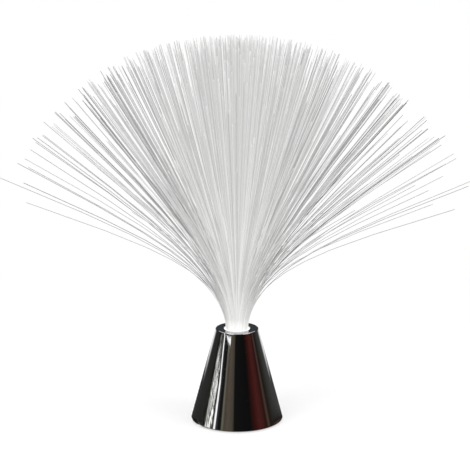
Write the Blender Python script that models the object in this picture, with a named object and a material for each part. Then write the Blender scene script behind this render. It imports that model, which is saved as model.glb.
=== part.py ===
"""Battery-powered fibre optic table lamp.

A tapered mirror-finish base holds three small cells, a switch and a light-emitting diode. The diode shines up
into the polished end of a bundle of plastic fibres, which is glued into a ferrule and pushed into the top of
the base. Lengths are in metres, +Z is up, and the origin is on the table, on the lamp's axis.
"""

import math
import random

import bmesh
import bpy
from mathutils import Vector
from mathutils.geometry import delaunay_2d_cdt

# Fits and how finely round shapes are cut
FIT = 0.0003  # gap between two pieces that meet
OVERRUN = 0.001  # how far a cutter reaches past what it cuts
SHELL_STEPS = 48
TUBE_STEPS = 32
TURNED_STEPS = 20
SMALL_STEPS = 12
ARC_STEPS = 4
SMOOTH_ANGLE = math.radians(35)  # sharper edges stay sharp
UP = Vector((0, 0, 1))
ORIGIN = Vector((0, 0, 0))
INSIDE_ONLY = 1  # keeps only the triangles within the outline

# Battery cells, which lie side by side along X
CELL_COUNT = 3
CELL_RADIUS = 0.00525
CELL_LENGTH = 0.0433  # without the raised button
CELL_SHOULDER = 0.0006
BUTTON_RADIUS = 0.0019
BUTTON_HEIGHT = 0.0011
CELL_GAP = 0.0004

# Contacts and springs at the ends of the cells
CONTACT_THICKNESS = 0.0004
CONTACT_WIDTH = 0.0088
TAB_WIDTH = 0.0030
TAB_RISE = 0.0020  # solder tab above the tray's roof
TAB_SLIT_FIT = 0.0004
SPRING_LENGTH = 0.0035
SPRING_WIRE_RADIUS = 0.00028
SPRING_WIDE_RADIUS = 0.0039
SPRING_NARROW_RADIUS = 0.0021
SPRING_TURNS = 3
SPRING_POINTS_PER_TURN = 8

# Base plate with the battery tray moulded on it
FLOOR_GAP = 0.0010  # rim of the shell above the table
PLATE_RECESS = 0.0008  # plate above the rim of the shell
PLATE_THICKNESS = 0.0026
TRAY_WALL = 0.0014
TRAY_ROOF = 0.0015
CONTACT_LEDGE = 0.0014  # ledge that the contacts stand on
SHELL_MARGIN = 0.0016  # corner of the tray to the shell
LOCATING_RING_HEIGHT = 0.0020
LOCATING_RING_WALL = 0.0012

# Battery door
DOOR_THICKNESS = 0.0013
DOOR_REST = 0.0016  # how far the door laps over the plate
DOOR_RIB_THICKNESS = 0.0012
DOOR_RIB_SPACING = 0.0240
DOOR_RIB_INSET = 0.0025
EAR_RADIUS = 0.0034
DOOR_BOSS_RADIUS = 0.0026
DOOR_BOSS_CAP = 0.0010
GRIP_COUNT = 3
GRIP_SPACING = 0.0022
GRIP_WIDTH = 0.0008
GRIP_LENGTH = 0.0120
GRIP_DEPTH = 0.0004
GRIP_PLACE = 0.0170

# Screws
SCREW_RADIUS = 0.0010
HEAD_RADIUS = 0.0020
HEAD_LAND = 0.00015
HEAD_DEPTH = 0.0010
SCREW_TIP = 0.0008
CROSS_WIDTH = 0.0005
CROSS_LENGTH = 0.0022
CROSS_DEPTH = 0.0006
SCREW_TURN = math.radians(20)
PLATE_SCREW_LENGTH = 0.0100
DOOR_SCREW_LENGTH = 0.0080
BOARD_SCREW_LENGTH = 0.0050

# Slide switch
SWITCH_TRAVEL = 0.0030
KNOB_LENGTH = 0.0034
KNOB_WIDTH = 0.0026
KNOB_DEPTH_INSIDE = 0.0014
KNOB_GROOVE = 0.0004
CAN_LENGTH = 0.0104
CAN_WIDTH = 0.0054
CAN_HEIGHT = 0.0050
FLANGE_THICKNESS = 0.0005
FLANGE_LENGTH = 0.0178
STAKE_RADIUS = 0.0010
STAKE_HEAD_RADIUS = 0.0016
STAKE_HEAD_HEIGHT = 0.0007
STAKE_SPACING = 0.0146
TERMINAL_WIDTH = 0.0012
TERMINAL_THICKNESS = 0.0005
TERMINAL_HEIGHT = 0.0026
TERMINAL_SPACING = 0.0032
SCOOP_EDGE = 0.0022
SCOOP_DEPTH = 0.0009
SWITCH_GAP = 0.0050  # tray wall to the switch

# Screw bosses inside the shell
BOSS_RADIUS = 0.0029
BOSS_SWITCH_GAP = 0.0032  # end of the switch's flange to the boss
BOSS_TRAY_GAP = 0.0053
PILOT_SPARE = 0.0015  # free depth past the screw's tip

# Rubber foot pads
FOOT_RADIUS = 0.0032
FOOT_RECESS = 0.0006
FOOT_EDGE = 0.0010  # plate left beside a foot's recess
FOOT_ROUNDING = 0.0003

# Fibre bundle
SECTOR_COUNT = 6
FULL_RINGS = 9
LOOSE_FIBRES = 5  # fibres of a sector in the sparser last ring
FIBRE_PITCH = 0.00093
FIBRE_RADIUS = 0.00029
FIBRE_LENGTH = 0.2510
FIBRE_LENGTH_SPREAD = 0.0045
BUNDLE_EDGE = 0.0004  # glue outside the last ring of fibres
SECTOR_GAP = 0.00025
BEND_LENGTH = 0.0450  # length in which a fibre does most of its bending
MAIN_TILT = math.radians(48)
MAIN_POWER = 2.0  # above 1, the middle of the spray is denser than its sides
LOOSE_TILT = math.radians(24)  # what the outermost fibres hang lower
LOOSE_POWER = 34
FRONT_SHARE = 0.60  # how much of the loose tilt the fibres have that lean to the front or back
RANK_MARGIN = 0.1
LANE_SHARE = 0.42  # how far across its own lane a fibre may lean
FIBRE_SIDES = 3
MAIN_SHARES = (0.070, 0.260, 1.0)
LOOSE_SHARES = (0.062, 0.160, 0.360, 0.620, 1.0)
BEND_STEPS = 40
SEED = 101

# Ferrule that the bundle is glued into
FERRULE_WALL = 0.0011
FERRULE_LENGTH = 0.0287
FERRULE_INSET = 0.0003  # top of the ferrule below the deck
FERRULE_LIP = 0.0010
FERRULE_CHAMFER = 0.0004
POTTING_DEPTH = 0.0004  # glue below the top of the ferrule
HOLE_GAP = 0.0004  # ferrule to the hole in the deck

# Base shell
SHELL_HEIGHT = 0.0800
SHELL_WALL = 0.0018
DECK_RING = 0.00675  # width of the flat ring round the hole
DECK_THICKNESS = 0.0022
DECK_EDGE_RADIUS = 0.0009
HOLE_CHAMFER = 0.0003
RIM_CHAMFER = 0.0004
DECK_RIB_DEPTH = 0.0020
DECK_RIB_WALL = 0.0012

# Tube that holds the light and receives the ferrule
TUBE_WALL = 0.0017
TUBE_STEP = 0.0011  # shoulder that the ferrule stands on
TUBE_LOWER_WALL = 0.0020
TUBE_FLOOR = 0.0020
TUBE_HOLE_RADIUS = 0.0045
WINDOW_WIDTH = 0.0080
WINDOW_SILL_SHARE = 0.15  # shares of the room below the tube's floor
WINDOW_TOP_SHARE = 0.80
BOARD_BOSS_RADIUS = 0.0024
BOARD_BOSS_HEIGHT = 0.0040

# Light board, diode and reflector
BOARD_THICKNESS = 0.0016
BOARD_SCREW_SPACING = 0.0160
LIGHT_ROOM = 0.0103  # board to the bottom of the ferrule
DIODE_RADIUS = 0.0040
DIODE_FLANGE = 0.0006
DIODE_FLANGE_HEIGHT = 0.0012
DIODE_HEIGHT = 0.0092
REFLECTOR_WALL = 0.0009
REFLECTOR_FOOT = 0.0022
REFLECTOR_RIM = 0.0010

# Wires
WIRE_RADIUS = 0.0006
WIRE_RISE = 0.0022  # straight stretch at each end
WIRE_ARCH = 0.0030
WIRE_SPACING = 0.0036  # between the two wires that rise in the tube
WIRE_STEPS = 4  # points between two places on a route

# Heights, from the table up
PLATE_UNDER = FLOOR_GAP + PLATE_RECESS
PLATE_TOP = PLATE_UNDER + PLATE_THICKNESS
CELL_AXIS = PLATE_TOP + FIT + CELL_RADIUS
CAVITY_ROOF = CELL_AXIS + CELL_RADIUS + FIT
TRAY_TOP = CAVITY_ROOF + TRAY_ROOF
DECK_TOP = FLOOR_GAP + SHELL_HEIGHT
DECK_UNDER = DECK_TOP - DECK_THICKNESS
FERRULE_TOP = DECK_TOP - FERRULE_INSET
FERRULE_FOOT = FERRULE_TOP - FERRULE_LENGTH
SHOULDER = FERRULE_FOOT - FIT
BOARD_TOP = SHOULDER - LIGHT_ROOM
BOARD_UNDER = BOARD_TOP - BOARD_THICKNESS
TUBE_FLOOR_TOP = BOARD_UNDER - FIT
TUBE_FLOOR_UNDER = TUBE_FLOOR_TOP - TUBE_FLOOR
TUBE_FOOT = TRAY_TOP + FIT
TUBE_TOP = DECK_UNDER - FIT
WINDOW_SILL = TUBE_FOOT + WINDOW_SILL_SHARE * (TUBE_FLOOR_UNDER - TUBE_FOOT)
WINDOW_TOP = TUBE_FOOT + WINDOW_TOP_SHARE * (TUBE_FLOOR_UNDER - TUBE_FOOT)
POTTING_TOP = FERRULE_TOP - POTTING_DEPTH
POTTING_UNDER = FERRULE_FOOT + FERRULE_LIP + FIT

# Sizes across, worked out from what each piece holds
CELL_PITCH = 2 * CELL_RADIUS + CELL_GAP
CAVITY_HALF_WIDTH = (CELL_COUNT - 1) * CELL_PITCH / 2 + CELL_RADIUS + FIT
CONTACT_DEPTH = FIT + CONTACT_THICKNESS
CAVITY_HALF_LENGTH = CONTACT_DEPTH + FIT + (CELL_LENGTH + BUTTON_HEIGHT + SPRING_LENGTH) / 2
CONTACT_X = CAVITY_HALF_LENGTH - FIT - CONTACT_THICKNESS / 2
CONTACT_FACE = CAVITY_HALF_LENGTH - CONTACT_DEPTH
TRAY_HALF_LENGTH = CAVITY_HALF_LENGTH + TRAY_WALL
TRAY_HALF_WIDTH = CAVITY_HALF_WIDTH + TRAY_WALL
OPENING_HALF_LENGTH = CAVITY_HALF_LENGTH - CONTACT_LEDGE
DOOR_HALF_LENGTH = OPENING_HALF_LENGTH + DOOR_REST
DOOR_HALF_WIDTH = CAVITY_HALF_WIDTH + DOOR_REST
DOOR_SCREW_X = TRAY_HALF_LENGTH + FIT + DOOR_BOSS_RADIUS
SWITCH_Y = -(TRAY_HALF_WIDTH + SWITCH_GAP + CAN_WIDTH / 2)
BOSS_X = FLANGE_LENGTH / 2 + BOSS_SWITCH_GAP + BOSS_RADIUS
BOSS_Y = TRAY_HALF_WIDTH + BOSS_TRAY_GAP + BOSS_RADIUS

BUNDLE_RADIUS = (FULL_RINGS + 1) * FIBRE_PITCH + BUNDLE_EDGE
FERRULE_BORE = BUNDLE_RADIUS + FIT
FERRULE_RADIUS = FERRULE_BORE + FERRULE_WALL
HOLE_RADIUS = FERRULE_RADIUS + HOLE_GAP
TUBE_BORE = FERRULE_RADIUS + FIT
TUBE_RADIUS = TUBE_BORE + TUBE_WALL
LIGHT_BORE = TUBE_BORE - TUBE_STEP
TUBE_LOWER_BORE = TUBE_RADIUS - TUBE_LOWER_WALL
BOARD_RADIUS = LIGHT_BORE - FIT

FOOT_X = BOSS_X + HEAD_RADIUS + FIT + FOOT_EDGE + FIT + FOOT_RADIUS
FOOT_Y = DOOR_HALF_WIDTH + FIT + FOOT_EDGE + FIT + FOOT_RADIUS

# The shell's foot is as wide as the corner of the tray needs, or the outermost edge of the foot pads
SHELL_TOP_RADIUS = HOLE_RADIUS + DECK_RING
TRAY_REACH = math.hypot(TRAY_HALF_LENGTH, TRAY_HALF_WIDTH) + SHELL_MARGIN + SHELL_WALL
PAD_REACH = math.hypot(FOOT_X, FOOT_Y) + FOOT_RADIUS + FIT + FOOT_EDGE + FIT + SHELL_WALL


def foot_radius_for(reach, height):
    """Radius of the shell's foot with which its side passes a reach from the axis at a height."""
    share = (height - FLOOR_GAP) / SHELL_HEIGHT
    return (reach - SHELL_TOP_RADIUS * share) / (1 - share)


SHELL_FOOT_RADIUS = max(foot_radius_for(TRAY_REACH, TRAY_TOP), foot_radius_for(PAD_REACH, PLATE_TOP))
TAPER = (SHELL_FOOT_RADIUS - SHELL_TOP_RADIUS) / SHELL_HEIGHT


def outer_radius(height):
    """Outside of the shell at a height above the table."""
    return SHELL_FOOT_RADIUS - TAPER * (height - FLOOR_GAP)


def inner_radius(height):
    return outer_radius(height) - SHELL_WALL


def wall_height(radius):
    """Height at which the middle of the shell's wall has this radius."""
    return FLOOR_GAP + (SHELL_FOOT_RADIUS - SHELL_WALL / 2 - radius) / TAPER


PLATE_RADIUS = inner_radius(PLATE_TOP) - FIT


# Materials
def material(name, colour, roughness, metallic=0.0, transmission=0.0):
    made = bpy.data.materials.new(name)
    made.use_nodes = True
    shader = made.node_tree.nodes["Principled BSDF"]
    shader.inputs["Base Color"].default_value = (*colour, 1.0)
    shader.inputs["Roughness"].default_value = roughness
    shader.inputs["Metallic"].default_value = metallic
    shader.inputs["Transmission Weight"].default_value = transmission
    made.diffuse_color = (*colour, 1.0)
    return made


# Making objects
def finish_object(name, bm, finish=None, parent=None, location=ORIGIN, turn=0.0):
    """One named object from a bmesh, shaded smooth, turned about Z and placed."""
    bmesh.ops.recalc_face_normals(bm, faces=bm.faces)
    mesh = bpy.data.meshes.new(name)
    bm.to_mesh(mesh)
    bm.free()
    mesh.shade_smooth()
    mesh.set_sharp_from_angle(angle=SMOOTH_ANGLE)
    made = bpy.data.objects.new(name, mesh)
    bpy.context.scene.collection.objects.link(made)
    if finish:
        mesh.materials.append(finish)
    made.parent = parent
    made.location = location
    made.rotation_euler = (0, 0, turn)
    return made


def frame_empty(name, location=ORIGIN):
    made = bpy.data.objects.new(name, None)
    bpy.context.scene.collection.objects.link(made)
    made.location = location
    return made


def joined(*parts):
    """One bmesh from several, which don't touch each other."""
    whole = bmesh.new()
    for part in parts:
        mesh = bpy.data.meshes.new("part")
        part.to_mesh(mesh)
        part.free()
        whole.from_mesh(mesh)
        bpy.data.meshes.remove(mesh)
    return whole


def change_shape(made, operation, *parts):
    """Adds the parts to an object, or cuts them out, with a Boolean modifier."""
    tool = finish_object(f"{made.name}_{operation.lower()}_{len(made.modifiers)}", joined(*parts))
    tool.parent = made
    tool.hide_render = True
    tool.display_type = "WIRE"
    modifier = made.modifiers.new(operation.lower(), "BOOLEAN")
    modifier.operation = operation
    modifier.solver = "EXACT"
    modifier.object = tool


def turned(outline, steps, centre=ORIGIN):
    """A closed outline of (radius, height) turned about the Z axis through centre."""
    bm = bmesh.new()
    corners = [bm.verts.new((radius, 0, height)) for radius, height in outline]
    ring = [bm.edges.new((a, b)) for a, b in zip(corners, corners[1:] + corners[:1])]
    on_axis = [edge for edge in ring if all(v.co.x == 0 for v in edge.verts)]
    geometry = corners + [edge for edge in ring if edge not in on_axis]
    bmesh.ops.spin(
        bm, geom=geometry, cent=ORIGIN, axis=UP, angle=math.tau, steps=steps, use_merge=True
    )
    bmesh.ops.delete(bm, geom=[e for e in bm.edges if not e.link_faces], context="EDGES")
    bmesh.ops.remove_doubles(bm, verts=bm.verts, dist=FIT / 100)
    bmesh.ops.recalc_face_normals(bm, faces=bm.faces)
    bmesh.ops.translate(bm, verts=bm.verts, vec=centre)
    return bm


def rod(radius, foot, top, steps=SMALL_STEPS, x=0.0, y=0.0):
    """A cylinder along Z between two heights."""
    bm = bmesh.new()
    bmesh.ops.create_cone(
        bm, cap_ends=True, segments=steps, radius1=radius, radius2=radius, depth=top - foot
    )
    bmesh.ops.translate(bm, verts=bm.verts, vec=(x, y, (foot + top) / 2))
    return bm


def block(low, high):
    """A box between two opposite corners."""
    bm = bmesh.new()
    bmesh.ops.create_cube(bm, size=1)
    low, high = Vector(low), Vector(high)
    bmesh.ops.scale(bm, verts=bm.verts, vec=high - low)
    bmesh.ops.translate(bm, verts=bm.verts, vec=(low + high) / 2)
    return bm


def plate_shape(outline, foot, top):
    """An outline of (x, y) points made as thick as two heights say."""
    bm = bmesh.new()
    face = bm.faces.new([bm.verts.new((x, y, foot)) for x, y in outline])
    raised = bmesh.ops.extrude_face_region(bm, geom=[face])["geom"]
    moved = [item for item in raised if isinstance(item, bmesh.types.BMVert)]
    bmesh.ops.translate(bm, verts=moved, vec=(0, 0, top - foot))
    bmesh.ops.recalc_face_normals(bm, faces=bm.faces)
    return bm


def arc(centre, radius, start, end, steps=ARC_STEPS):
    """Points of a round stretch, from one angle to another."""
    angles = [start + (end - start) * step / steps for step in range(steps + 1)]
    return [(centre[0] + radius * math.cos(a), centre[1] + radius * math.sin(a)) for a in angles]


def corners_of(x, y):
    """The four places that mirror each other about both axes."""
    return [(side * x, end * y) for end in (1, -1) for side in (1, -1)]


# Screws, made once with the outer face of the head at z = 0 and the tip up
def screw_shape(length, pan_head):
    head_top = HEAD_LAND + HEAD_DEPTH
    if pan_head:
        head = [(HEAD_RADIUS - HEAD_LAND, 0), (HEAD_RADIUS, HEAD_LAND), (HEAD_RADIUS, head_top)]
    else:
        head = [(HEAD_RADIUS, 0), (HEAD_RADIUS, HEAD_LAND)]
    shank = [(SCREW_RADIUS, head_top), (SCREW_RADIUS, length - SCREW_TIP), (SCREW_RADIUS / 2, length)]
    return turned([(0, 0), *head, *shank, (0, length)], SMALL_STEPS)


def cross_shape():
    """The cutter of the cross-shaped drive recess."""
    long, short = CROSS_LENGTH / 2, CROSS_WIDTH / 2
    outline = [
        (long, short), (short, short), (short, long), (-short, long), (-short, short), (-long, short),
        (-long, -short), (-short, -short), (-short, -long), (short, -long), (short, -short), (long, -short),
    ]
    return plate_shape(outline, -OVERRUN, CROSS_DEPTH)


def add_screws(name, length, places, height, parent, finish, pan_head=False, points_down=False):
    for number, (x, y) in enumerate(places, start=1):
        made = finish_object(
            f"{name}_{number}", screw_shape(length, pan_head), finish, parent, (x, y, height), SCREW_TURN
        )
        if points_down:
            made.rotation_euler = (math.pi, 0, SCREW_TURN)
        change_shape(made, "DIFFERENCE", cross_shape())


def countersink(x, y, face, top):
    """The cutter for a countersunk screw that enters at a face below."""
    hole = SCREW_RADIUS + FIT
    wide = HEAD_RADIUS + FIT
    cone = face + HEAD_LAND + HEAD_DEPTH
    outline = [
        (0, face - OVERRUN), (wide, face - OVERRUN), (wide, face + HEAD_LAND),
        (hole, cone), (hole, top), (0, top),
    ]
    return turned(outline, SMALL_STEPS, Vector((x, y, 0)))


# Base shell
def deck_edge():
    """The rounded edge between the sloping side and the flat deck."""
    slope = math.atan(TAPER)
    centre_radius = SHELL_TOP_RADIUS + TAPER * DECK_EDGE_RADIUS - DECK_EDGE_RADIUS / math.cos(slope)
    return arc((centre_radius, DECK_TOP - DECK_EDGE_RADIUS), DECK_EDGE_RADIUS, slope, math.pi / 2)


def shell_outline():
    rib_inside = TUBE_RADIUS + FIT
    rib_outside = rib_inside + DECK_RIB_WALL
    rib_foot = DECK_UNDER - DECK_RIB_DEPTH
    return [
        (SHELL_FOOT_RADIUS - RIM_CHAMFER, FLOOR_GAP),
        (outer_radius(FLOOR_GAP + RIM_CHAMFER), FLOOR_GAP + RIM_CHAMFER),
        *deck_edge(),
        (HOLE_RADIUS + HOLE_CHAMFER, DECK_TOP),
        (HOLE_RADIUS, DECK_TOP - HOLE_CHAMFER),
        (HOLE_RADIUS, DECK_UNDER),
        (rib_inside, DECK_UNDER),
        (rib_inside, rib_foot),
        (rib_outside, rib_foot),
        (rib_outside, DECK_UNDER),
        (inner_radius(DECK_UNDER), DECK_UNDER),
        (inner_radius(FLOOR_GAP), FLOOR_GAP),
    ]


def boss_shape(x, y):
    """A screw boss whose slanting top runs into the middle of the sloping wall."""
    foot = PLATE_TOP + FIT
    bm = rod(BOSS_RADIUS, foot, DECK_UNDER, TURNED_STEPS, x, y)
    for corner in bm.verts:
        if corner.co.z > foot + FIT:
            corner.co.z = wall_height(math.hypot(corner.co.x, corner.co.y))
    return bm


def add_base_shell(parent, finish):
    made = finish_object("base_shell", turned(shell_outline(), SHELL_STEPS), finish, parent)
    change_shape(made, "UNION", *[boss_shape(x, y) for x, y in corners_of(BOSS_X, BOSS_Y)])
    pilot_top = PLATE_UNDER + PLATE_SCREW_LENGTH + PILOT_SPARE
    pilots = [
        rod(SCREW_RADIUS + FIT, PLATE_TOP - OVERRUN, pilot_top, SMALL_STEPS, x, y)
        for x, y in corners_of(BOSS_X, BOSS_Y)
    ]
    change_shape(made, "DIFFERENCE", *pilots)


# Battery door and the recess that it lies in
def door_outline(grow):
    """The door's outline: a rectangle with a round ear at each end for a screw."""
    long, wide, ear = DOOR_HALF_LENGTH + grow, DOOR_HALF_WIDTH + grow, EAR_RADIUS + grow
    points = [(long, -ear)]
    points += arc((DOOR_SCREW_X, 0), ear, -math.pi / 2, math.pi / 2, 2 * ARC_STEPS)
    points += [(long, ear), (long, wide), (-long, wide), (-long, ear)]
    points += arc((-DOOR_SCREW_X, 0), ear, math.pi / 2, 3 * math.pi / 2, 2 * ARC_STEPS)
    return points + [(-long, -ear), (-long, -wide), (long, -wide)]


def add_battery_door(parent, finish):
    inside = PLATE_UNDER + DOOR_THICKNESS
    made = finish_object("battery_door", plate_shape(door_outline(0), PLATE_UNDER, inside), finish, parent)
    rib_reach = CAVITY_HALF_WIDTH - DOOR_RIB_INSET
    ribs = [
        block(
            (place - DOOR_RIB_THICKNESS / 2, -rib_reach, inside - DOOR_THICKNESS / 2),
            (place + DOOR_RIB_THICKNESS / 2, rib_reach, PLATE_TOP),
        )
        for place in (-DOOR_RIB_SPACING / 2, DOOR_RIB_SPACING / 2)
    ]
    change_shape(made, "UNION", *ribs)
    grips = [
        block(
            (GRIP_PLACE + number * GRIP_SPACING - GRIP_WIDTH / 2, -GRIP_LENGTH / 2, PLATE_UNDER - OVERRUN),
            (GRIP_PLACE + number * GRIP_SPACING + GRIP_WIDTH / 2, GRIP_LENGTH / 2, PLATE_UNDER + GRIP_DEPTH),
        )
        for number in range(GRIP_COUNT)
    ]
    holes = [countersink(side * DOOR_SCREW_X, 0, PLATE_UNDER, inside + OVERRUN) for side in (1, -1)]
    change_shape(made, "DIFFERENCE", *grips, *holes)


# Base plate
def stake_shape(x):
    """A pin of the plate that passes through the switch's flange and is melted over it."""
    head_foot = PLATE_TOP + FIT + FLANGE_THICKNESS + FIT
    head_top = head_foot + STAKE_HEAD_HEIGHT
    foot = PLATE_TOP - PLATE_THICKNESS / 3
    outline = [
        (0, foot), (STAKE_RADIUS, foot), (STAKE_RADIUS, head_foot), (STAKE_HEAD_RADIUS, head_foot),
        (STAKE_RADIUS, head_top), (0, head_top),
    ]
    return turned(outline, SMALL_STEPS, Vector((x, SWITCH_Y, 0)))


def tab_slit(side, y):
    """The slit in the tray's roof for a contact's solder tab."""
    reach = CONTACT_THICKNESS / 2 + TAB_SLIT_FIT
    wide = TAB_WIDTH / 2 + TAB_SLIT_FIT
    x = side * CONTACT_X
    return block((x - reach, y - wide, CAVITY_ROOF - OVERRUN), (x + reach, y + wide, TRAY_TOP + OVERRUN))


def add_base_plate(parent, finish):
    made = finish_object("base_plate", rod(PLATE_RADIUS, PLATE_UNDER, PLATE_TOP, SHELL_STEPS), finish, parent)
    root = PLATE_TOP - PLATE_THICKNESS / 3
    tray = block((-TRAY_HALF_LENGTH, -TRAY_HALF_WIDTH, root), (TRAY_HALF_LENGTH, TRAY_HALF_WIDTH, TRAY_TOP))
    bore_top = PLATE_UNDER + DOOR_SCREW_LENGTH + FIT
    bosses = [
        rod(DOOR_BOSS_RADIUS, root, bore_top + DOOR_BOSS_CAP, TURNED_STEPS, side * DOOR_SCREW_X)
        for side in (1, -1)
    ]
    stakes = [stake_shape(side * STAKE_SPACING / 2) for side in (1, -1)]
    change_shape(made, "UNION", tray, *bosses, *stakes)

    ring_inside = TUBE_RADIUS + FIT
    ring_outside = ring_inside + LOCATING_RING_WALL
    ring_foot = TRAY_TOP - TRAY_ROOF / 2
    ring_top = TRAY_TOP + LOCATING_RING_HEIGHT
    ring = [
        (ring_inside, ring_foot), (ring_outside, ring_foot),
        (ring_outside, ring_top), (ring_inside, ring_top),
    ]
    change_shape(made, "UNION", turned(ring, TUBE_STEPS))

    cavity = block(
        (-CAVITY_HALF_LENGTH, -CAVITY_HALF_WIDTH, PLATE_TOP),
        (CAVITY_HALF_LENGTH, CAVITY_HALF_WIDTH, CAVITY_ROOF),
    )
    feet = [
        rod(FOOT_RADIUS + FIT, PLATE_UNDER - OVERRUN, PLATE_UNDER + FOOT_RECESS, TURNED_STEPS, x, y)
        for x, y in corners_of(FOOT_X, FOOT_Y)
    ]
    holes = [countersink(x, y, PLATE_UNDER, PLATE_TOP + OVERRUN) for x, y in corners_of(BOSS_X, BOSS_Y)]
    bores = [
        rod(SCREW_RADIUS + FIT, PLATE_UNDER - OVERRUN, bore_top, SMALL_STEPS, side * DOOR_SCREW_X)
        for side in (1, -1)
    ]
    slot_length = (KNOB_LENGTH + SWITCH_TRAVEL) / 2 + FIT
    slot_width = KNOB_WIDTH / 2 + FIT
    slot = block(
        (-slot_length, SWITCH_Y - slot_width, PLATE_UNDER - OVERRUN),
        (slot_length, SWITCH_Y + slot_width, PLATE_TOP + OVERRUN),
    )
    change_shape(made, "DIFFERENCE", cavity, *feet, *holes, *bores, slot)

    door_recess = plate_shape(door_outline(FIT), PLATE_UNDER - OVERRUN, PLATE_UNDER + DOOR_THICKNESS + FIT)
    scoop = block(
        (-slot_length - SCOOP_EDGE, SWITCH_Y - slot_width - SCOOP_EDGE, PLATE_UNDER - OVERRUN),
        (slot_length + SCOOP_EDGE, SWITCH_Y + slot_width + SCOOP_EDGE, PLATE_UNDER + SCOOP_DEPTH),
    )
    slits = [tab_slit(1, -CELL_PITCH), tab_slit(-1, CELL_PITCH)]
    change_shape(made, "DIFFERENCE", door_recess, scoop, *slits)
    opening = block(
        (-OPENING_HALF_LENGTH, -CAVITY_HALF_WIDTH, PLATE_UNDER - OVERRUN),
        (OPENING_HALF_LENGTH, CAVITY_HALF_WIDTH, CELL_AXIS),
    )
    change_shape(made, "DIFFERENCE", opening)


def add_feet(parent, finish):
    top = PLATE_UNDER + FOOT_RECESS - FIT
    outline = [
        (0, 0), (FOOT_RADIUS - FOOT_ROUNDING, 0), (FOOT_RADIUS, FOOT_ROUNDING), (FOOT_RADIUS, top), (0, top),
    ]
    for number, (x, y) in enumerate(corners_of(FOOT_X, FOOT_Y), start=1):
        finish_object(f"foot_pad_{number}", turned(outline, TURNED_STEPS), finish, parent, (x, y, 0))


# Battery cells and what touches them
def cell_outline():
    """A cell standing on its flat end."""
    top = CELL_LENGTH
    return [
        (0, 0), (CELL_RADIUS - CELL_SHOULDER, 0), (CELL_RADIUS, CELL_SHOULDER),
        (CELL_RADIUS, top - CELL_SHOULDER), (CELL_RADIUS - CELL_SHOULDER, top), (BUTTON_RADIUS, top),
        (BUTTON_RADIUS, top + BUTTON_HEIGHT), (0, top + BUTTON_HEIGHT),
    ]


def cell_side(number):
    """The side that a cell's button faces: the cells lie in turn the other way round."""
    return 1 if number % 2 == 0 else -1


def cell_place(number):
    return (number - (CELL_COUNT - 1) / 2) * CELL_PITCH


def add_cells(parent, finish):
    flat_end = CONTACT_FACE - FIT - BUTTON_HEIGHT - CELL_LENGTH
    for number in range(CELL_COUNT):
        side = cell_side(number)
        cell = turned(cell_outline(), TURNED_STEPS)
        made = finish_object(f"battery_cell_{number + 1}", cell, finish, parent)
        made.location = (side * flat_end, cell_place(number), CELL_AXIS)
        made.rotation_euler = (0, side * math.pi / 2, 0)


def contact_plate(side, low_y, high_y):
    x = side * CONTACT_X
    reach = CONTACT_THICKNESS / 2
    return block((x - reach, low_y, PLATE_TOP + FIT), (x + reach, high_y, CAVITY_ROOF - FIT))


def contact_tab(side, y):
    x = side * CONTACT_X
    reach = CONTACT_THICKNESS / 2
    return block(
        (x - reach, y - TAB_WIDTH / 2, CELL_AXIS), (x + reach, y + TAB_WIDTH / 2, TRAY_TOP + TAB_RISE)
    )


def add_contacts(parent, finish):
    half = CONTACT_WIDTH / 2
    for name, side, low, high in (
        ("contact_plus", 1, -CELL_PITCH, -CELL_PITCH),
        ("contact_minus", -1, CELL_PITCH, CELL_PITCH),
        ("contact_bridge_front", 1, 0, CELL_PITCH),
        ("contact_bridge_rear", -1, -CELL_PITCH, 0),
    ):
        made = finish_object(name, contact_plate(side, low - half, high + half), finish, parent)
        if low == high:
            change_shape(made, "UNION", contact_tab(side, low))


def spring_points():
    """A cone of turns along X, from the contact to the flat end of the cell."""
    start = FIT + SPRING_WIRE_RADIUS
    end = SPRING_LENGTH - SPRING_WIRE_RADIUS
    count = SPRING_TURNS * SPRING_POINTS_PER_TURN
    points = []
    for step in range(count + 1):
        share = step / count
        angle = math.tau * SPRING_TURNS * share
        radius = SPRING_WIDE_RADIUS + (SPRING_NARROW_RADIUS - SPRING_WIDE_RADIUS) * share
        points.append((start + (end - start) * share, radius * math.cos(angle), radius * math.sin(angle)))
    return points


def least_gap(points, radius, skip):
    """The smallest free space between a coil's turns, leaving out neighbouring points."""
    nearest = min(
        (Vector(a) - Vector(b)).length
        for i, a in enumerate(points)
        for b in points[i + skip :]
    )
    return nearest - 2 * radius


def tube_object(name, points, radius, resolution, finish, parent):
    """A tube along points, as a curve with a bevel and filled caps."""
    curve = bpy.data.curves.new(name, "CURVE")
    curve.dimensions = "3D"
    curve.bevel_depth = radius
    curve.bevel_resolution = resolution
    curve.use_fill_caps = True
    spline = curve.splines.new("POLY")
    spline.points.add(len(points) - 1)
    for point, place in zip(spline.points, points):
        point.co = (*place, 1)
    curve.materials.append(finish)
    made = bpy.data.objects.new(name, curve)
    bpy.context.scene.collection.objects.link(made)
    made.parent = parent
    return made


def add_springs(parent, finish):
    points = spring_points()
    gap = least_gap(points, SPRING_WIRE_RADIUS, SPRING_POINTS_PER_TURN // 2)
    print(f"least gap between the turns of a battery spring: {gap:.5f} m")
    for number in range(CELL_COUNT):
        side = cell_side(number)
        made = tube_object(f"battery_spring_{number + 1}", points, SPRING_WIRE_RADIUS, 1, finish, parent)
        made.location = (-side * CONTACT_FACE, cell_place(number), CELL_AXIS)
        made.rotation_euler = (0, 0, 0 if side > 0 else math.pi)


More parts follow.
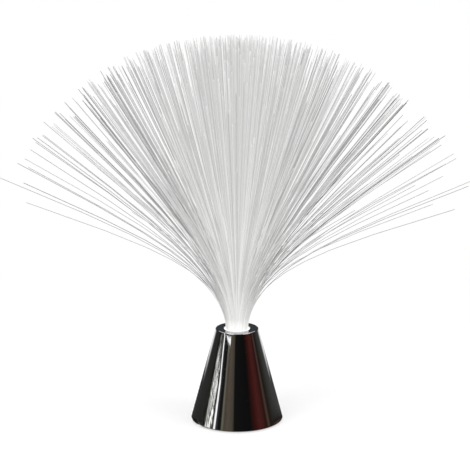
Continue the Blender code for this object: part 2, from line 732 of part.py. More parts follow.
# Slide switch
def add_switch(base, slider, metal, plastic):
    foot = PLATE_TOP + FIT
    flange_top = foot + FLANGE_THICKNESS
    can_top = foot + CAN_HEIGHT
    body = finish_object(
        "switch_body",
        block((-CAN_LENGTH / 2, -CAN_WIDTH / 2, foot), (CAN_LENGTH / 2, CAN_WIDTH / 2, can_top)),
        metal,
        base,
        (0, SWITCH_Y, 0),
    )
    flange = block((-FLANGE_LENGTH / 2, -CAN_WIDTH / 2, foot), (FLANGE_LENGTH / 2, CAN_WIDTH / 2, flange_top))
    change_shape(body, "UNION", flange)
    terminals = [
        block(
            (place - TERMINAL_WIDTH / 2, -TERMINAL_THICKNESS / 2, can_top - CAN_HEIGHT / 3),
            (place + TERMINAL_WIDTH / 2, TERMINAL_THICKNESS / 2, can_top + TERMINAL_HEIGHT),
        )
        for place in (-TERMINAL_SPACING, 0, TERMINAL_SPACING)
    ]
    change_shape(body, "UNION", *terminals)
    knob_top = foot + KNOB_DEPTH_INSIDE
    slot_length = (KNOB_LENGTH + SWITCH_TRAVEL) / 2 + FIT
    slot_width = KNOB_WIDTH / 2 + FIT
    pocket = block((-slot_length, -slot_width, foot - OVERRUN), (slot_length, slot_width, knob_top + FIT))
    holes = [
        rod(STAKE_RADIUS + FIT, foot - OVERRUN, flange_top + OVERRUN, SMALL_STEPS, side * STAKE_SPACING / 2)
        for side in (1, -1)
    ]
    change_shape(body, "DIFFERENCE", pocket, *holes)

    knob = finish_object(
        "switch_knob",
        block((-KNOB_LENGTH / 2, -KNOB_WIDTH / 2, PLATE_UNDER), (KNOB_LENGTH / 2, KNOB_WIDTH / 2, knob_top)),
        plastic,
        slider,
    )
    grooves = [
        block(
            (place - KNOB_GROOVE / 2, -KNOB_WIDTH, PLATE_UNDER - OVERRUN),
            (place + KNOB_GROOVE / 2, KNOB_WIDTH, PLATE_UNDER + KNOB_GROOVE),
        )
        for place in (-KNOB_LENGTH / 4, 0, KNOB_LENGTH / 4)
    ]
    change_shape(knob, "DIFFERENCE", *grooves)


# Tube that holds the light
def add_socket_tube(parent, finish):
    outline = [
        (TUBE_LOWER_BORE, TUBE_FOOT),
        (TUBE_RADIUS, TUBE_FOOT),
        (TUBE_RADIUS, TUBE_TOP),
        (TUBE_BORE, TUBE_TOP),
        (TUBE_BORE, SHOULDER),
        (LIGHT_BORE, SHOULDER),
        (LIGHT_BORE, TUBE_FLOOR_TOP),
        (TUBE_HOLE_RADIUS, TUBE_FLOOR_TOP),
        (TUBE_HOLE_RADIUS, TUBE_FLOOR_UNDER),
        (TUBE_LOWER_BORE, TUBE_FLOOR_UNDER),
    ]
    made = finish_object("socket_tube", turned(outline, TUBE_STEPS), finish, parent)
    places = (BOARD_SCREW_SPACING / 2, -BOARD_SCREW_SPACING / 2)
    boss_foot = TUBE_FLOOR_UNDER - BOARD_BOSS_HEIGHT
    boss_top = TUBE_FLOOR_TOP - TUBE_FLOOR / 3
    bosses = [rod(BOARD_BOSS_RADIUS, boss_foot, boss_top, SMALL_STEPS, place) for place in places]
    change_shape(made, "UNION", *bosses)
    hole_foot = BOARD_TOP - BOARD_SCREW_LENGTH + HEAD_LAND + HEAD_DEPTH - 2 * FIT
    holes = [
        rod(SCREW_RADIUS + FIT, hole_foot, TUBE_FLOOR_TOP + OVERRUN, SMALL_STEPS, place) for place in places
    ]
    reach = TUBE_RADIUS + OVERRUN
    window = block((-WINDOW_WIDTH / 2, -reach, WINDOW_SILL), (WINDOW_WIDTH / 2, reach, WINDOW_TOP))
    change_shape(made, "DIFFERENCE", *holes, window)


def add_light(parent, board_finish, diode_finish, white):
    disc = rod(BOARD_RADIUS, BOARD_UNDER, BOARD_TOP, TUBE_STEPS)
    board = finish_object("led_board", disc, board_finish, parent)
    place = BOARD_SCREW_SPACING / 2
    holes = [
        rod(SCREW_RADIUS + FIT, BOARD_UNDER - OVERRUN, BOARD_TOP + OVERRUN, SMALL_STEPS, side * place)
        for side in (1, -1)
    ]
    change_shape(board, "DIFFERENCE", *holes)

    foot = BOARD_TOP + FIT
    dome = arc((0, foot + DIODE_HEIGHT - DIODE_RADIUS), DIODE_RADIUS, 0, math.pi / 2)
    flange_radius = DIODE_RADIUS + DIODE_FLANGE
    flange_top = foot + DIODE_FLANGE_HEIGHT
    outline = [
        (0, foot), (flange_radius, foot), (flange_radius, flange_top), (DIODE_RADIUS, flange_top), *dome[:-1],
        (0, foot + DIODE_HEIGHT),
    ]
    finish_object("rgb_led", turned(outline, TURNED_STEPS), diode_finish, parent)

    cup_inside = flange_radius + FIT
    cup_outside = cup_inside + REFLECTOR_WALL
    rim = SHOULDER - FIT
    rim_inside = BOARD_RADIUS - REFLECTOR_WALL
    outline = [
        (cup_inside, foot), (cup_outside, foot), (cup_outside, foot + REFLECTOR_FOOT),
        (BOARD_RADIUS, rim - REFLECTOR_RIM), (BOARD_RADIUS, rim), (rim_inside, rim),
        (cup_inside, foot + REFLECTOR_FOOT),
    ]
    finish_object("led_reflector", turned(outline, TURNED_STEPS), white, parent)


# Ferrule and fibres
def add_ferrule(parent, finish):
    lip = FERRULE_BORE - FERRULE_LIP
    edge = FERRULE_CHAMFER
    lip_top = FERRULE_FOOT + FERRULE_LIP
    outline = [
        (lip, FERRULE_FOOT), (FERRULE_RADIUS - edge, FERRULE_FOOT), (FERRULE_RADIUS, FERRULE_FOOT + edge),
        (FERRULE_RADIUS, FERRULE_TOP - edge), (FERRULE_RADIUS - edge, FERRULE_TOP),
        (FERRULE_BORE, FERRULE_TOP), (FERRULE_BORE, lip_top), (lip, lip_top),
    ]
    finish_object("ferrule", turned(outline, TUBE_STEPS), finish, parent)


def fibre_run(end_tilt, length):
    """How far out and up a fibre has come at a length along it, and its tilt, which grows less and less."""
    out = up = 0.0
    step = length / BEND_STEPS
    for number in range(BEND_STEPS):
        middle = (number + 0.5) * step
        tilt = end_tilt * (1 - math.exp(-middle / BEND_LENGTH))
        out += math.sin(tilt) * step
        up += math.cos(tilt) * step
    return out, up, end_tilt * (1 - math.exp(-length / BEND_LENGTH))


def fibre_ring(place, azimuth, out, up, tilt):
    """The corners of a fibre's cross-section, square to the way that it runs."""
    outward = Vector((math.cos(azimuth), math.sin(azimuth), 0))
    sideways = Vector((-math.sin(azimuth), math.cos(azimuth), 0))
    square = outward * math.cos(tilt) - UP * math.sin(tilt)
    middle = Vector((*place, 0)) + outward * out + UP * up
    corners = []
    for side in range(FIBRE_SIDES):
        angle = math.tau * side / FIBRE_SIDES
        corners.append(middle + (square * math.cos(angle) + sideways * math.sin(angle)) * FIBRE_RADIUS)
    return corners


def tilt_at_end(rank, azimuth):
    """A fibre's tilt at its end, by its place in the bundle and the way that it leans."""
    sideways = FRONT_SHARE + (1 - FRONT_SHARE) * abs(math.cos(azimuth))
    return MAIN_TILT * rank**MAIN_POWER + LOOSE_TILT * sideways * rank**LOOSE_POWER


def sector_fibres(sector):
    """The fibres of one sector: the rings of cross-sections that each one runs through."""
    dice = random.Random(SEED + sector)
    turn = math.tau * sector / SECTOR_COUNT
    counts = list(range(1, FULL_RINGS + 1)) + [LOOSE_FIBRES]
    total = sum(counts)
    spread = math.tau / SECTOR_COUNT
    fibres = []
    before = 0
    for ring, count in enumerate(counts, start=1):
        order = list(range(count))
        dice.shuffle(order)
        shares = MAIN_SHARES if ring <= FULL_RINGS else LOOSE_SHARES
        for number in range(count):
            angle = spread * ((number + 0.5) / count - 0.5)
            place = (ring * FIBRE_PITCH * math.cos(angle), ring * FIBRE_PITCH * math.sin(angle))
            rank = math.sqrt((before + order[number] + dice.uniform(RANK_MARGIN, 1 - RANK_MARGIN)) / total)
            azimuth = angle + spread / count * dice.uniform(-LANE_SHARE, LANE_SHARE)
            end_tilt = tilt_at_end(rank, azimuth + turn)
            length = FIBRE_LENGTH - FIBRE_LENGTH_SPREAD * dice.random() ** 2
            rings = [fibre_ring(place, azimuth, 0, 0, 0)]
            rings += [fibre_ring(place, azimuth, *fibre_run(end_tilt, length * share)) for share in shares]
            fibres.append(rings)
        before += count
    return fibres


def sector_outline():
    """The outline of a sector of the glued bundle, a little narrower than a sixth of the circle."""
    half = math.pi / SECTOR_COUNT
    point = (SECTOR_GAP / 2 / math.sin(half), 0)
    reach = half - math.asin(SECTOR_GAP / 2 / BUNDLE_RADIUS)
    return [point, *arc((0, 0), BUNDLE_RADIUS, -reach, reach, 2 * ARC_STEPS)]


def top_face_mesh(outline, feet):
    """A flat face within an outline, in triangles round the feet that stand on it, and the feet's faces."""
    points = []
    loops = []
    for loop in [outline, *feet]:
        loops.append(range(len(points), len(points) + len(loop)))
        points += [Vector(point) for point in loop]
    places, _, triangles, sources, _, within = delaunay_2d_cdt(points, [], loops, INSIDE_ONLY, FIT / 100)
    bm = bmesh.new()
    number_of = bm.faces.layers.int.new("number")
    corners = [bm.verts.new((*place, 0)) for place in places]
    corner_of = {number: corner for corner, numbers in zip(corners, sources) for number in numbers}
    for triangle, loops_round in zip(triangles, within):
        if len(loops_round) == 1:
            bm.faces.new([corners[number] for number in triangle])
    caps = [bm.faces.new([corner_of[number] for number in loop]) for loop in loops[1:]]
    for number, cap in enumerate(caps):
        cap[number_of] = number
    return bm, caps


def sector_mesh(sector):
    """A slice of the glued bundle with its fibres growing out of its top, as one closed body."""
    fibres = sector_fibres(sector)
    bm, caps = top_face_mesh(sector_outline(), [[corner.xy for corner in rings[0]] for rings in fibres])
    rim = [edge for edge in bm.edges if edge.is_boundary]
    lowered = bmesh.ops.extrude_edge_only(bm, edges=rim)["geom"]
    bottom = [item for item in lowered if isinstance(item, bmesh.types.BMVert)]
    bmesh.ops.translate(bm, verts=bottom, vec=(0, 0, POTTING_UNDER - POTTING_TOP))
    bmesh.ops.holes_fill(bm, edges=[item for item in lowered if isinstance(item, bmesh.types.BMEdge)])
    number_of = bm.faces.layers.int["number"]
    for level in range(1, len(LOOSE_SHARES) + 1):
        growing = [cap for cap in caps if level < len(fibres[cap[number_of]])]
        caps = bmesh.ops.extrude_discrete_faces(bm, faces=growing)["faces"]
        for cap in caps:
            for corner, place in zip(cap.verts, fibres[cap[number_of]][level]):
                corner.co = place
    return bm


def add_fibres(parent, finish):
    for sector in range(SECTOR_COUNT):
        made = finish_object(f"fibre_sector_{sector + 1}", sector_mesh(sector), finish, parent)
        made.rotation_euler = (0, 0, math.tau * sector / SECTOR_COUNT)


# Wires inside the base
def smooth_route(places):
    """Points on a smooth curve through the places of a route."""
    places = [Vector(place) for place in places]
    ends = [2 * places[0] - places[1], *places, 2 * places[-1] - places[-2]]
    points = []
    for a, b, c, d in zip(ends, ends[1:], ends[2:], ends[3:]):
        for step in range(WIRE_STEPS):
            t = step / WIRE_STEPS
            cubic = (3 * b - a - 3 * c + d) * t**3
            points.append(0.5 * (2 * b + (c - a) * t + (2 * a - 5 * b + 4 * c - d) * t**2 + cubic))
    return [*points, places[-1]]


def add_wires(parent, red, black):
    rise = UP * WIRE_RISE
    tab_top = TRAY_TOP + TAB_RISE + FIT
    plus = Vector((CONTACT_X, -CELL_PITCH, tab_top))
    minus = Vector((-CONTACT_X, CELL_PITCH, tab_top))
    terminal_top = PLATE_TOP + FIT + CAN_HEIGHT + TERMINAL_HEIGHT + FIT
    live = Vector((TERMINAL_SPACING, SWITCH_Y, terminal_top))
    switched = Vector((-TERMINAL_SPACING, SWITCH_Y, terminal_top))
    window = (WINDOW_SILL + WINDOW_TOP) / 2
    over_tray = Vector(((CONTACT_X + TERMINAL_SPACING) / 2, -TRAY_HALF_WIDTH, tab_top + WIRE_ARCH))
    tube_object(
        "wire_plus",
        smooth_route([plus, plus + rise, over_tray, live + 2 * rise, live + rise, live]),
        WIRE_RADIUS, 1, red, parent,
    )
    for name, start, side, finish in (("wire_switched", switched, -1, red), ("wire_minus", minus, 1, black)):
        lane = -WIRE_SPACING / 2
        end = Vector((lane / 2, side * WIRE_SPACING / 2, BOARD_UNDER - FIT))
        inside = Vector((lane, side * TUBE_HOLE_RADIUS, window))
        outside = Vector((lane, side * (TUBE_RADIUS + WIRE_ARCH), window))
        below = end - UP * (end.z - window) / 2
        route = [start, start + 2 * rise, outside, inside, below, end]
        tube_object(name, smooth_route(route), WIRE_RADIUS, 1, finish, parent)


def main():
    for old in list(bpy.data.objects):
        bpy.data.objects.remove(old)
    dark_chrome = material("dark chrome", (0.45, 0.45, 0.46), 0.05, metallic=1.0)
    black_plastic = material("black plastic", (0.022, 0.022, 0.024), 0.45)
    white_plastic = material("white plastic", (0.85, 0.85, 0.84), 0.35)
    milky = material("milky plastic", (0.90, 0.91, 0.92), 0.25, transmission=0.3)
    clear_fibre = material("clear fibre", (0.88, 0.89, 0.90), 0.12, transmission=0.6)
    steel = material("zinc-plated steel", (0.62, 0.62, 0.60), 0.30, metallic=1.0)
    nickel = material("nickel-plated strip", (0.70, 0.69, 0.66), 0.25, metallic=1.0)
    jacket = material("cell jacket", (0.16, 0.17, 0.19), 0.35, metallic=0.6)
    circuit = material("circuit board", (0.04, 0.20, 0.09), 0.50)
    rubber = material("dark rubber", (0.035, 0.035, 0.035), 0.85)
    red = material("red insulation", (0.60, 0.04, 0.03), 0.45)
    black = material("black insulation", (0.02, 0.02, 0.02), 0.45)

    base = frame_empty("base")
    door = frame_empty("door")
    slider = frame_empty("slider", (SWITCH_TRAVEL / 2, SWITCH_Y, 0))
    spray = frame_empty("spray", (0, 0, POTTING_TOP))

    add_base_shell(base, dark_chrome)
    add_base_plate(base, black_plastic)
    add_feet(base, rubber)
    add_screws("plate_screw", PLATE_SCREW_LENGTH, corners_of(BOSS_X, BOSS_Y), PLATE_UNDER, base, steel)
    add_battery_door(door, black_plastic)
    door_places = [(DOOR_SCREW_X, 0), (-DOOR_SCREW_X, 0)]
    add_screws("door_screw", DOOR_SCREW_LENGTH, door_places, PLATE_UNDER, door, steel)
    add_cells(base, jacket)
    add_contacts(base, nickel)
    add_springs(base, nickel)
    add_switch(base, slider, steel, white_plastic)
    add_socket_tube(base, black_plastic)
    add_light(base, circuit, milky, white_plastic)
    board_places = [(BOARD_SCREW_SPACING / 2, 0), (-BOARD_SCREW_SPACING / 2, 0)]
    head_face = BOARD_TOP + FIT + HEAD_LAND + HEAD_DEPTH
    add_screws(
        "board_screw", BOARD_SCREW_LENGTH, board_places, head_face, base, steel,
        pan_head=True, points_down=True,
    )
    ferrule_parent = frame_empty("ferrule_place")
    ferrule_parent.parent = spray
    ferrule_parent.location = (0, 0, -POTTING_TOP)
    add_ferrule(ferrule_parent, milky)
    add_fibres(spray, clear_fibre)
    add_wires(base, red, black)


main()
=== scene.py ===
"""The finish of a fibre optic lamp: a wide spray of glowing fibres in a tapered base of dark chrome.

The solids come from the frame. This script makes the fine fibres, the turned and moulded pieces that show,
and every material, and sets the light, the floor and the camera. Lengths are in metres, +Z is up.
"""

import math
import random

import bmesh
import bpy
from mathutils import Matrix, Vector
from mathutils.kdtree import KDTree


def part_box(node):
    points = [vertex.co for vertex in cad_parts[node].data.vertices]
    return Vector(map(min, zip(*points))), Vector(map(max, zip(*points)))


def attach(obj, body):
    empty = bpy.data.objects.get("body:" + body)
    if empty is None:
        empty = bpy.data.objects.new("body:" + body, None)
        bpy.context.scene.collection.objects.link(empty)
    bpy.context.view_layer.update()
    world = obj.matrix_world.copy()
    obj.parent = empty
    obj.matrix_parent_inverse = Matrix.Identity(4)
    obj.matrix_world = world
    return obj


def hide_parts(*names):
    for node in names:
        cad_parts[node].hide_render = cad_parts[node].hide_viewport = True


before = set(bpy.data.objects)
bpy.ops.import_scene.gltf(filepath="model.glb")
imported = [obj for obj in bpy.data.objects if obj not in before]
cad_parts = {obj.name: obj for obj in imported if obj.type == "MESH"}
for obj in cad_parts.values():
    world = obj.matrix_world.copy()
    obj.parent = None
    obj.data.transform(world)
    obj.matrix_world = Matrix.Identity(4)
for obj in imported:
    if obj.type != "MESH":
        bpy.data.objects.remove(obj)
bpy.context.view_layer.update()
UP = Vector((0, 0, 1))
ORIGIN = Vector((0, 0, 0))
UPSIDE_DOWN = Matrix.Rotation(math.pi, 4, "X")
FIT = 0.0003  # gap between two pieces that meet
MERGE_DISTANCE = 0.000001

# Places and sizes that the frame gives
SHELL_LOW, SHELL_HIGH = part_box("base_shell")
PLATE_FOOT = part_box("base_plate")[0].z
TUBE_LOW, TUBE_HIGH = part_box("socket_tube")
FERRULE_LOW, FERRULE_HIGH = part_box("ferrule")
BOARD_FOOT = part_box("led_board")[0].z

# Base shell
SHELL_STEPS = 240
DECK_TOP = SHELL_HIGH.z
DECK_UNDER = TUBE_HIGH.z + FIT
SHELL_TOP_RADIUS = 0.01825  # where the side would meet the deck if its edge were sharp
SHELL_WALL = 0.0018
DECK_EDGE_RADIUS = 0.0009
HOLE_RADIUS = 0.0115
HOLE_CHAMFER = 0.0003
RIM_CHAMFER = 0.0004
DECK_RIB_DEPTH = 0.0020
DECK_RIB_WALL = 0.0012
TAPER = (SHELL_HIGH.x - SHELL_TOP_RADIUS) / (DECK_TOP - SHELL_LOW.z - RIM_CHAMFER)
BOSS_RADIUS = 0.0029
BOSS_PLACES = [(x, y) for x in (0.0150, -0.0150) for y in (0.02605, -0.02605)]
BOSS_FOOT = 0.0047
BOSS_BORE = 0.0013
BOSS_BORE_TOP = 0.0133

# Feet and screws
FOOT_ROUNDING = 0.0006
FOOT_DISH = 0.00015
FOOT_DISH_SHARE = 0.55  # how far out the dish under a foot reaches
FOOT_FACE_SHARE = 0.62  # where the foot meets the table
SCREW_HEAD_RADIUS = 0.0020
SCREW_RADIUS = 0.0010
THREAD_DEPTH = 0.00026
THREAD_PITCH = 0.0006
HEAD_LAND = 0.00015
HEAD_DEPTH = 0.0010
HEAD_EDGE = 0.0001
PAN_ROUNDING = 0.0005
SCREW_TIP = 0.0008
CROSS_REACH = 0.0012
CROSS_WIDTH = 0.00042
CROSS_DEPTH = 0.0009
CROSS_NARROWING = 0.45
SCREW_TURN = 17  # degrees
SCREW_TURN_STEP = 43  # so that no two crosses stand alike
SCREWS = [  # name, number, length, body, whether the head is domed
    ("plate_screw", 4, 0.0100, "base", False),
    ("door_screw", 2, 0.0080, "door", False),
    ("board_screw", 2, 0.0050, "base", True),
]

# Switch knob
KNOB_RIB_PITCH = 0.00068
KNOB_GROOVE = 0.0003
KNOB_EDGE = 0.00012
KNOB_SHARP_ANGLE = math.radians(60)
LETTER_SIZE = 0.00322
LETTER_RELIEF = 0.00018
LETTER_PLACE = 0.0093

# Battery cells and springs
CELL_RADIUS = 0.00525
CELL_LENGTH = 0.0433
BUTTON_RADIUS = 0.0019
BUTTON_HEIGHT = 0.0011
BUTTON_ROUNDING = 0.0003
CELL_FACE = 0.0036  # radius of the flat end
CELL_DISH = 0.0003
SLEEVE = 0.00012
SLEEVE_LAP = 0.0010
SPRING_WIRE_RADIUS = 0.00028
SPRING_WIDE_RADIUS = 0.0039
SPRING_NARROW_RADIUS = 0.0021
SPRING_TURNS = 3
SPRING_STEPS = 28

# Wires
WIRE_RADIUS = 0.0006
WIRE_RISE = 0.0022
WIRE_ARCH = 0.0030
WIRE_SPACING = 0.0036
TERMINAL_SPACING = 0.0032
TUBE_HOLE_RADIUS = 0.0045
TUBE_FLOOR = 0.0020
WINDOW_SHARE = 0.475  # middle of the tube's window, as a share of the room below the tube's floor
WINDOW_HEIGHT = TUBE_LOW.z + WINDOW_SHARE * (BOARD_FOOT - FIT - TUBE_FLOOR - TUBE_LOW.z)
TRAY_WALL = 0.0014
TRAY_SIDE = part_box("battery_cell_1")[0].y - FIT - TRAY_WALL

# Diode
FLANGE_WIDTH = 0.0006
FLANGE_HEIGHT = 0.0012
FLANGE_EDGE = 0.0001

# Fibres
FIBRE_COUNT = 1350
FIBRE_RADIUS = 0.00025
FIBRE_SIDES = 5
BUNDLE_RADIUS = 0.0097
FOOT_CIRCLE = 0.0094
BEND_LENGTH = 0.0450  # length in which a fibre does most of its bending
MAIN_TILT = math.radians(48)
MAIN_POWER = 2.0  # above 1, the middle of the spray is denser than its sides
LOOSE_TILT = math.radians(24)
LOOSE_POWER = 34
LOOSE_SHORTER = 0.03
SIDE_SHORTER = 0.06
SIDE_POWER = 8
FRONT_SHARE = 0.60  # how much of the loose tilt the fibres have that lean to the front or back
SIDE_SHARE = 0.30  # how much more of it the fibres have that lean to the left or right
LEFT_STEEPER = 0.05  # the share of its tilt that the outermost fibre lacks that leans to the left
LEFT_POWER = 4
RANK_SPREAD = 0.02
AZIMUTH_SPREAD = 0.08
DARK_TONE = 0.66
SHADED_RANK = 0.45  # outside this the fibres on the left and right are darker, with painted shade
# painted shade at the sides of the spray: how much it lowers the darkest and the brightest tone
DARK_SHADING = 1.1
BRIGHT_SHADING = 0.35
# painted shade: how much darker the brightest tone of the loosest fibres is
LOOSE_PAINTED_SHADE = 0.3
TONE_SPREAD = 0.05
FIBRE_LENGTH = 0.2500
LENGTH_SPREAD = 0.010
STRAND_FIBRES = 3  # fibres that cling together in the outer part of the spray
STRAND_RANK = 0.55
CLINGING = 0.85  # share of the outermost of them that cling
STRAND_AZIMUTH_SPREAD = 0.0025
STRAND_TILT_SPREAD = 0.0018
FREE_RANK = 0.965  # outside this the fibres stand apart
PATH_SHARES = (0.012, 0.03, 0.052, 0.078, 0.108, 0.143, 0.185, 0.235, 0.30, 0.385, 0.50, 0.68, 1.0)
BEND_STEPS = 60
PAINTED_LIGHT_RIM = 0.0050  # how far down the ferrule the light shows, painted light on the collar, which is no lamp
GLUE_TOP = FERRULE_HIGH.z - 0.0004
GLUE_FOOT = FERRULE_LOW.z + 0.0013
SECTORS = 6
GOLDEN_ANGLE = math.pi * (3 - math.sqrt(5))
FIBRE_SEED = 11
PAINTED_FIBRE_LIGHT = [  # share of the length, from the foot, and how strongly the fibre glows there, painted light that lifts the shaded mass
    (0.0, 0.345), (0.012, 0.335), (0.025, 0.305), (0.045, 0.243), (0.15, 0.237), (0.35, 0.24),
    (0.6, 0.21), (0.985, 0.185), (1.0, 0.27),
]

# Finishes
PLATING_TONE = 0.45
DUST_COLOUR = (0.45, 0.44, 0.42)

# Camera, as the photograph was taken
CAMERA_TILT = math.radians(13.5)
CAMERA_DISTANCE = 1.50
CAMERA_AIM = Vector((-0.0017, 0, 0.1626))
SENSOR_WIDTH = 36  # mm
VIEW_WIDTH = 0.3970  # what the photograph shows across at the lamp's axis

# Lamps and floor
LIT_PLACE = Vector((0, 0, 0.15))
LIGHTS = [  # name, place, size, power
    ("key_light", (-0.9, -0.9, 1.3), 1.0, 12),
    ("fill_light", (1.1, -0.6, 0.9), 1.0, 9),
    ("top_light", (0, 0.2, 1.7), 1.2, 10),
]
FLOOR_RADIUS = 8
SHADOW_FADE = (0.10, 0.55)  # where the floor's shadow begins to fade, and where it is gone

# Cards round the lamp for the plating to mirror: painted reflections, shown in mirrors alone. Angles are in
# degrees from the front to the right, and an edge is where a card begins and where it is whole
CARD_RING_RADIUS = 0.80
CARD_HEIGHT = 0.60
CARD_GAP = SHELL_HIGH.x - 0.001  # the free circle under the base
CARD_FLOOR = 0.0006
CARD_LEAN = 12  # how far the pale cards on the left lean to the front at their foot
LEAN_HEIGHTS = (0.23, 0.15)
LEAN_LEFT_EDGE = (-89, -60)
LEAN_RIGHT_EDGE = (-42, -50)
STREAKED_LEFT_EDGE = (-100, -92)
STREAKED_RIGHT_EDGE = (-71, -74)
STREAKED_TOP = (0.158, 0.130)
WEDGE_ENDS = (-30, -58)  # a small pale card that narrows to the left, a painted highlight
WEDGE_LOWER_EDGE = (0.2325, 0.2105)  # heights at the two ends
WEDGE_UPPER_EDGE = (0.2440, 0.2115)
WEDGE_SOFTNESS = 0.0004
SOFT_ANGLE = 1
PALE_CARD_SIDES = (131.8, 149.0)  # a pale card on the table behind the lamp, a painted reflection
PALE_CARD_EDGE = (0.22, 0.34)
PALE_CARD_HEIGHT = (0.02, 0.01)
REAR_CARD_SIDES = (163.3, 171.9)  # a blue-grey card upright behind the lamp, a painted reflection for the deck
REAR_CARD_FOOT = (0.17, 0.22)
PAINTED_REFLECTION_BANDS = [  # angle, colour as mirrored, which the plating shows as a painted reflection
    (-180, (0.014, 0.014, 0.015)), (-150, (0.018, 0.018, 0.019)), (-140, (0.024, 0.024, 0.024)),
    (-89, (0.018, 0.018, 0.016)), (-85, (0.62, 0.62, 0.58)), (-76, (0.85, 0.85, 0.82)),
    (-74.5, (0.018, 0.018, 0.018)), (-72.3, (0.018, 0.018, 0.018)), (-71, (1.0, 1.0, 1.0)),
    (-67.6, (1.0, 1.0, 1.0)), (-66.3, (0.039, 0.039, 0.039)), (-56, (0.006, 0.006, 0.006)),
    (-41, (0.009, 0.009, 0.009)), (-38, (0.125, 0.115, 0.090)), (-32, (0.054, 0.045, 0.034)),
    (-24, (0.078, 0.063, 0.049)), (-11, (0.050, 0.044, 0.032)), (-7, (0.006, 0.006, 0.006)),
    (34, (0.004, 0.004, 0.004)), (46, (0.028, 0.0062, 0.005)), (60, (0.054, 0.0115, 0.010)),
    (70, (0.036, 0.010, 0.008)), (78, (0.018, 0.006, 0.006)), (84, (0.058, 0.035, 0.028)),
    (92, (0.010, 0.008, 0.006)), (108, (0.026, 0.026, 0.024)), (123, (0.039, 0.039, 0.037)),
    (138, (0.036, 0.036, 0.036)), (150, (0.030, 0.030, 0.031)), (180, (0.014, 0.014, 0.015)),
]


# Making pieces
def mesh_from(name, bm):
    """A mesh from a bmesh, which it frees."""
    mesh = bpy.data.meshes.new(name)
    bm.to_mesh(mesh)
    bm.free()
    return mesh


def placed(name, data):
    """A new object in the scene."""
    made = bpy.data.objects.new(name, data)
    bpy.context.scene.collection.objects.link(made)
    return made


def middle_of(name):
    """The middle of a node's box."""
    low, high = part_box(name)
    return (low + high) / 2


def set_down(bm, place, turn=Matrix()):
    """Turns a bmesh about the origin, then moves it to its place."""
    bmesh.ops.transform(bm, matrix=Matrix.Translation(place) @ turn, verts=bm.verts)


def turned(outline, steps):
    """A closed outline of (radius, height) turned about the Z axis."""
    bm = bmesh.new()
    corners = [bm.verts.new((radius, 0, height)) for radius, height in outline]
    ring = zip(corners, corners[1:] + corners[:1])
    edges = [bm.edges.new((a, b)) for a, b in ring if a.co.x or b.co.x]
    around = corners + edges
    bmesh.ops.spin(bm, geom=around, cent=ORIGIN, axis=UP, angle=math.tau, steps=steps, use_merge=True)
    bmesh.ops.remove_doubles(bm, verts=bm.verts, dist=MERGE_DISTANCE)
    bmesh.ops.recalc_face_normals(bm, faces=bm.faces)
    return bm


def arc(centre, radius, start, end, steps):
    """Points on a part of a circle."""
    angles = [start + (end - start) * step / steps for step in range(steps + 1)]
    return [(centre[0] + radius * math.cos(a), centre[1] + radius * math.sin(a)) for a in angles]


def add_to(bm, other):
    """Puts another bmesh into this one and frees it."""
    mesh = mesh_from("part", other)
    bm.from_mesh(mesh)
    bpy.data.meshes.remove(mesh)


def pushed_out(corners, push):
    """A flat outline pushed out along a vector to a solid."""
    bm = bmesh.new()
    face = bm.faces.new([bm.verts.new(corner) for corner in corners])
    raised = bmesh.ops.extrude_face_region(bm, geom=[face])["geom"]
    moved = [item for item in raised if isinstance(item, bmesh.types.BMVert)]
    bmesh.ops.translate(bm, verts=moved, vec=push)
    bmesh.ops.recalc_face_normals(bm, faces=bm.faces)
    return bm


def piece(name, bm, body, material, smooth_angle=35, replaced=()):
    """A piece from a bmesh, smooth but for its sharp edges, riding on a body of the frame."""
    mesh = mesh_from(name, bm)
    mesh.shade_smooth()
    mesh.set_sharp_from_angle(angle=math.radians(smooth_angle))
    mesh.materials.append(material)
    made = placed(name, mesh)
    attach(made, body)
    if replaced:
        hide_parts(*replaced)


def cut(bm, cutter):
    """The bmesh with a closed cutter taken out of it."""
    shapes = [placed(name, mesh_from(name, shape)) for name, shape in (("cut", bm), ("cutter", cutter))]
    modifier = shapes[0].modifiers.new("cut", "BOOLEAN")
    modifier.solver = "EXACT"
    modifier.object = shapes[1]
    result = bmesh.new()
    result.from_object(shapes[0], bpy.context.evaluated_depsgraph_get())
    for made in shapes:
        mesh = made.data
        bpy.data.objects.remove(made)
        bpy.data.meshes.remove(mesh)
    return result


def curve_solid(curve):
    """The bmesh of a thick curve or a text, which it removes."""
    made = placed("curve", curve)
    mesh = bpy.data.meshes.new_from_object(made.evaluated_get(bpy.context.evaluated_depsgraph_get()))
    bm = bmesh.new()
    bm.from_mesh(mesh)
    bpy.data.meshes.remove(mesh)
    bpy.data.objects.remove(made)
    bpy.data.curves.remove(curve)
    bmesh.ops.remove_doubles(bm, verts=bm.verts, dist=MERGE_DISTANCE)
    return bm


def tube(points, radius, sides):
    """A tube along points, closed at both ends."""
    curve = bpy.data.curves.new("tube", "CURVE")
    curve.dimensions = "3D"
    curve.bevel_depth = radius
    curve.bevel_resolution = sides // 2 - 2
    curve.use_fill_caps = True
    spline = curve.splines.new("POLY")
    spline.points.add(len(points) - 1)
    for point, place in zip(spline.points, points):
        point.co = (*place, 1)
    bm = curve_solid(curve)
    bmesh.ops.recalc_face_normals(bm, faces=bm.faces)
    return bm


def smooth_route(places, steps):
    """Points on a smooth curve through the places of a route."""
    places = [Vector(place) for place in places]
    ends = [2 * places[0] - places[1], *places, 2 * places[-1] - places[-2]]
    points = []
    for a, b, c, d in zip(ends, ends[1:], ends[2:], ends[3:]):
        for step in range(steps):
            t = step / steps
            cubic = (3 * b - a - 3 * c + d) * t**3
            points.append(0.5 * (2 * b + (c - a) * t + (2 * a - 5 * b + 4 * c - d) * t**2 + cubic))
    return [*points, places[-1]]


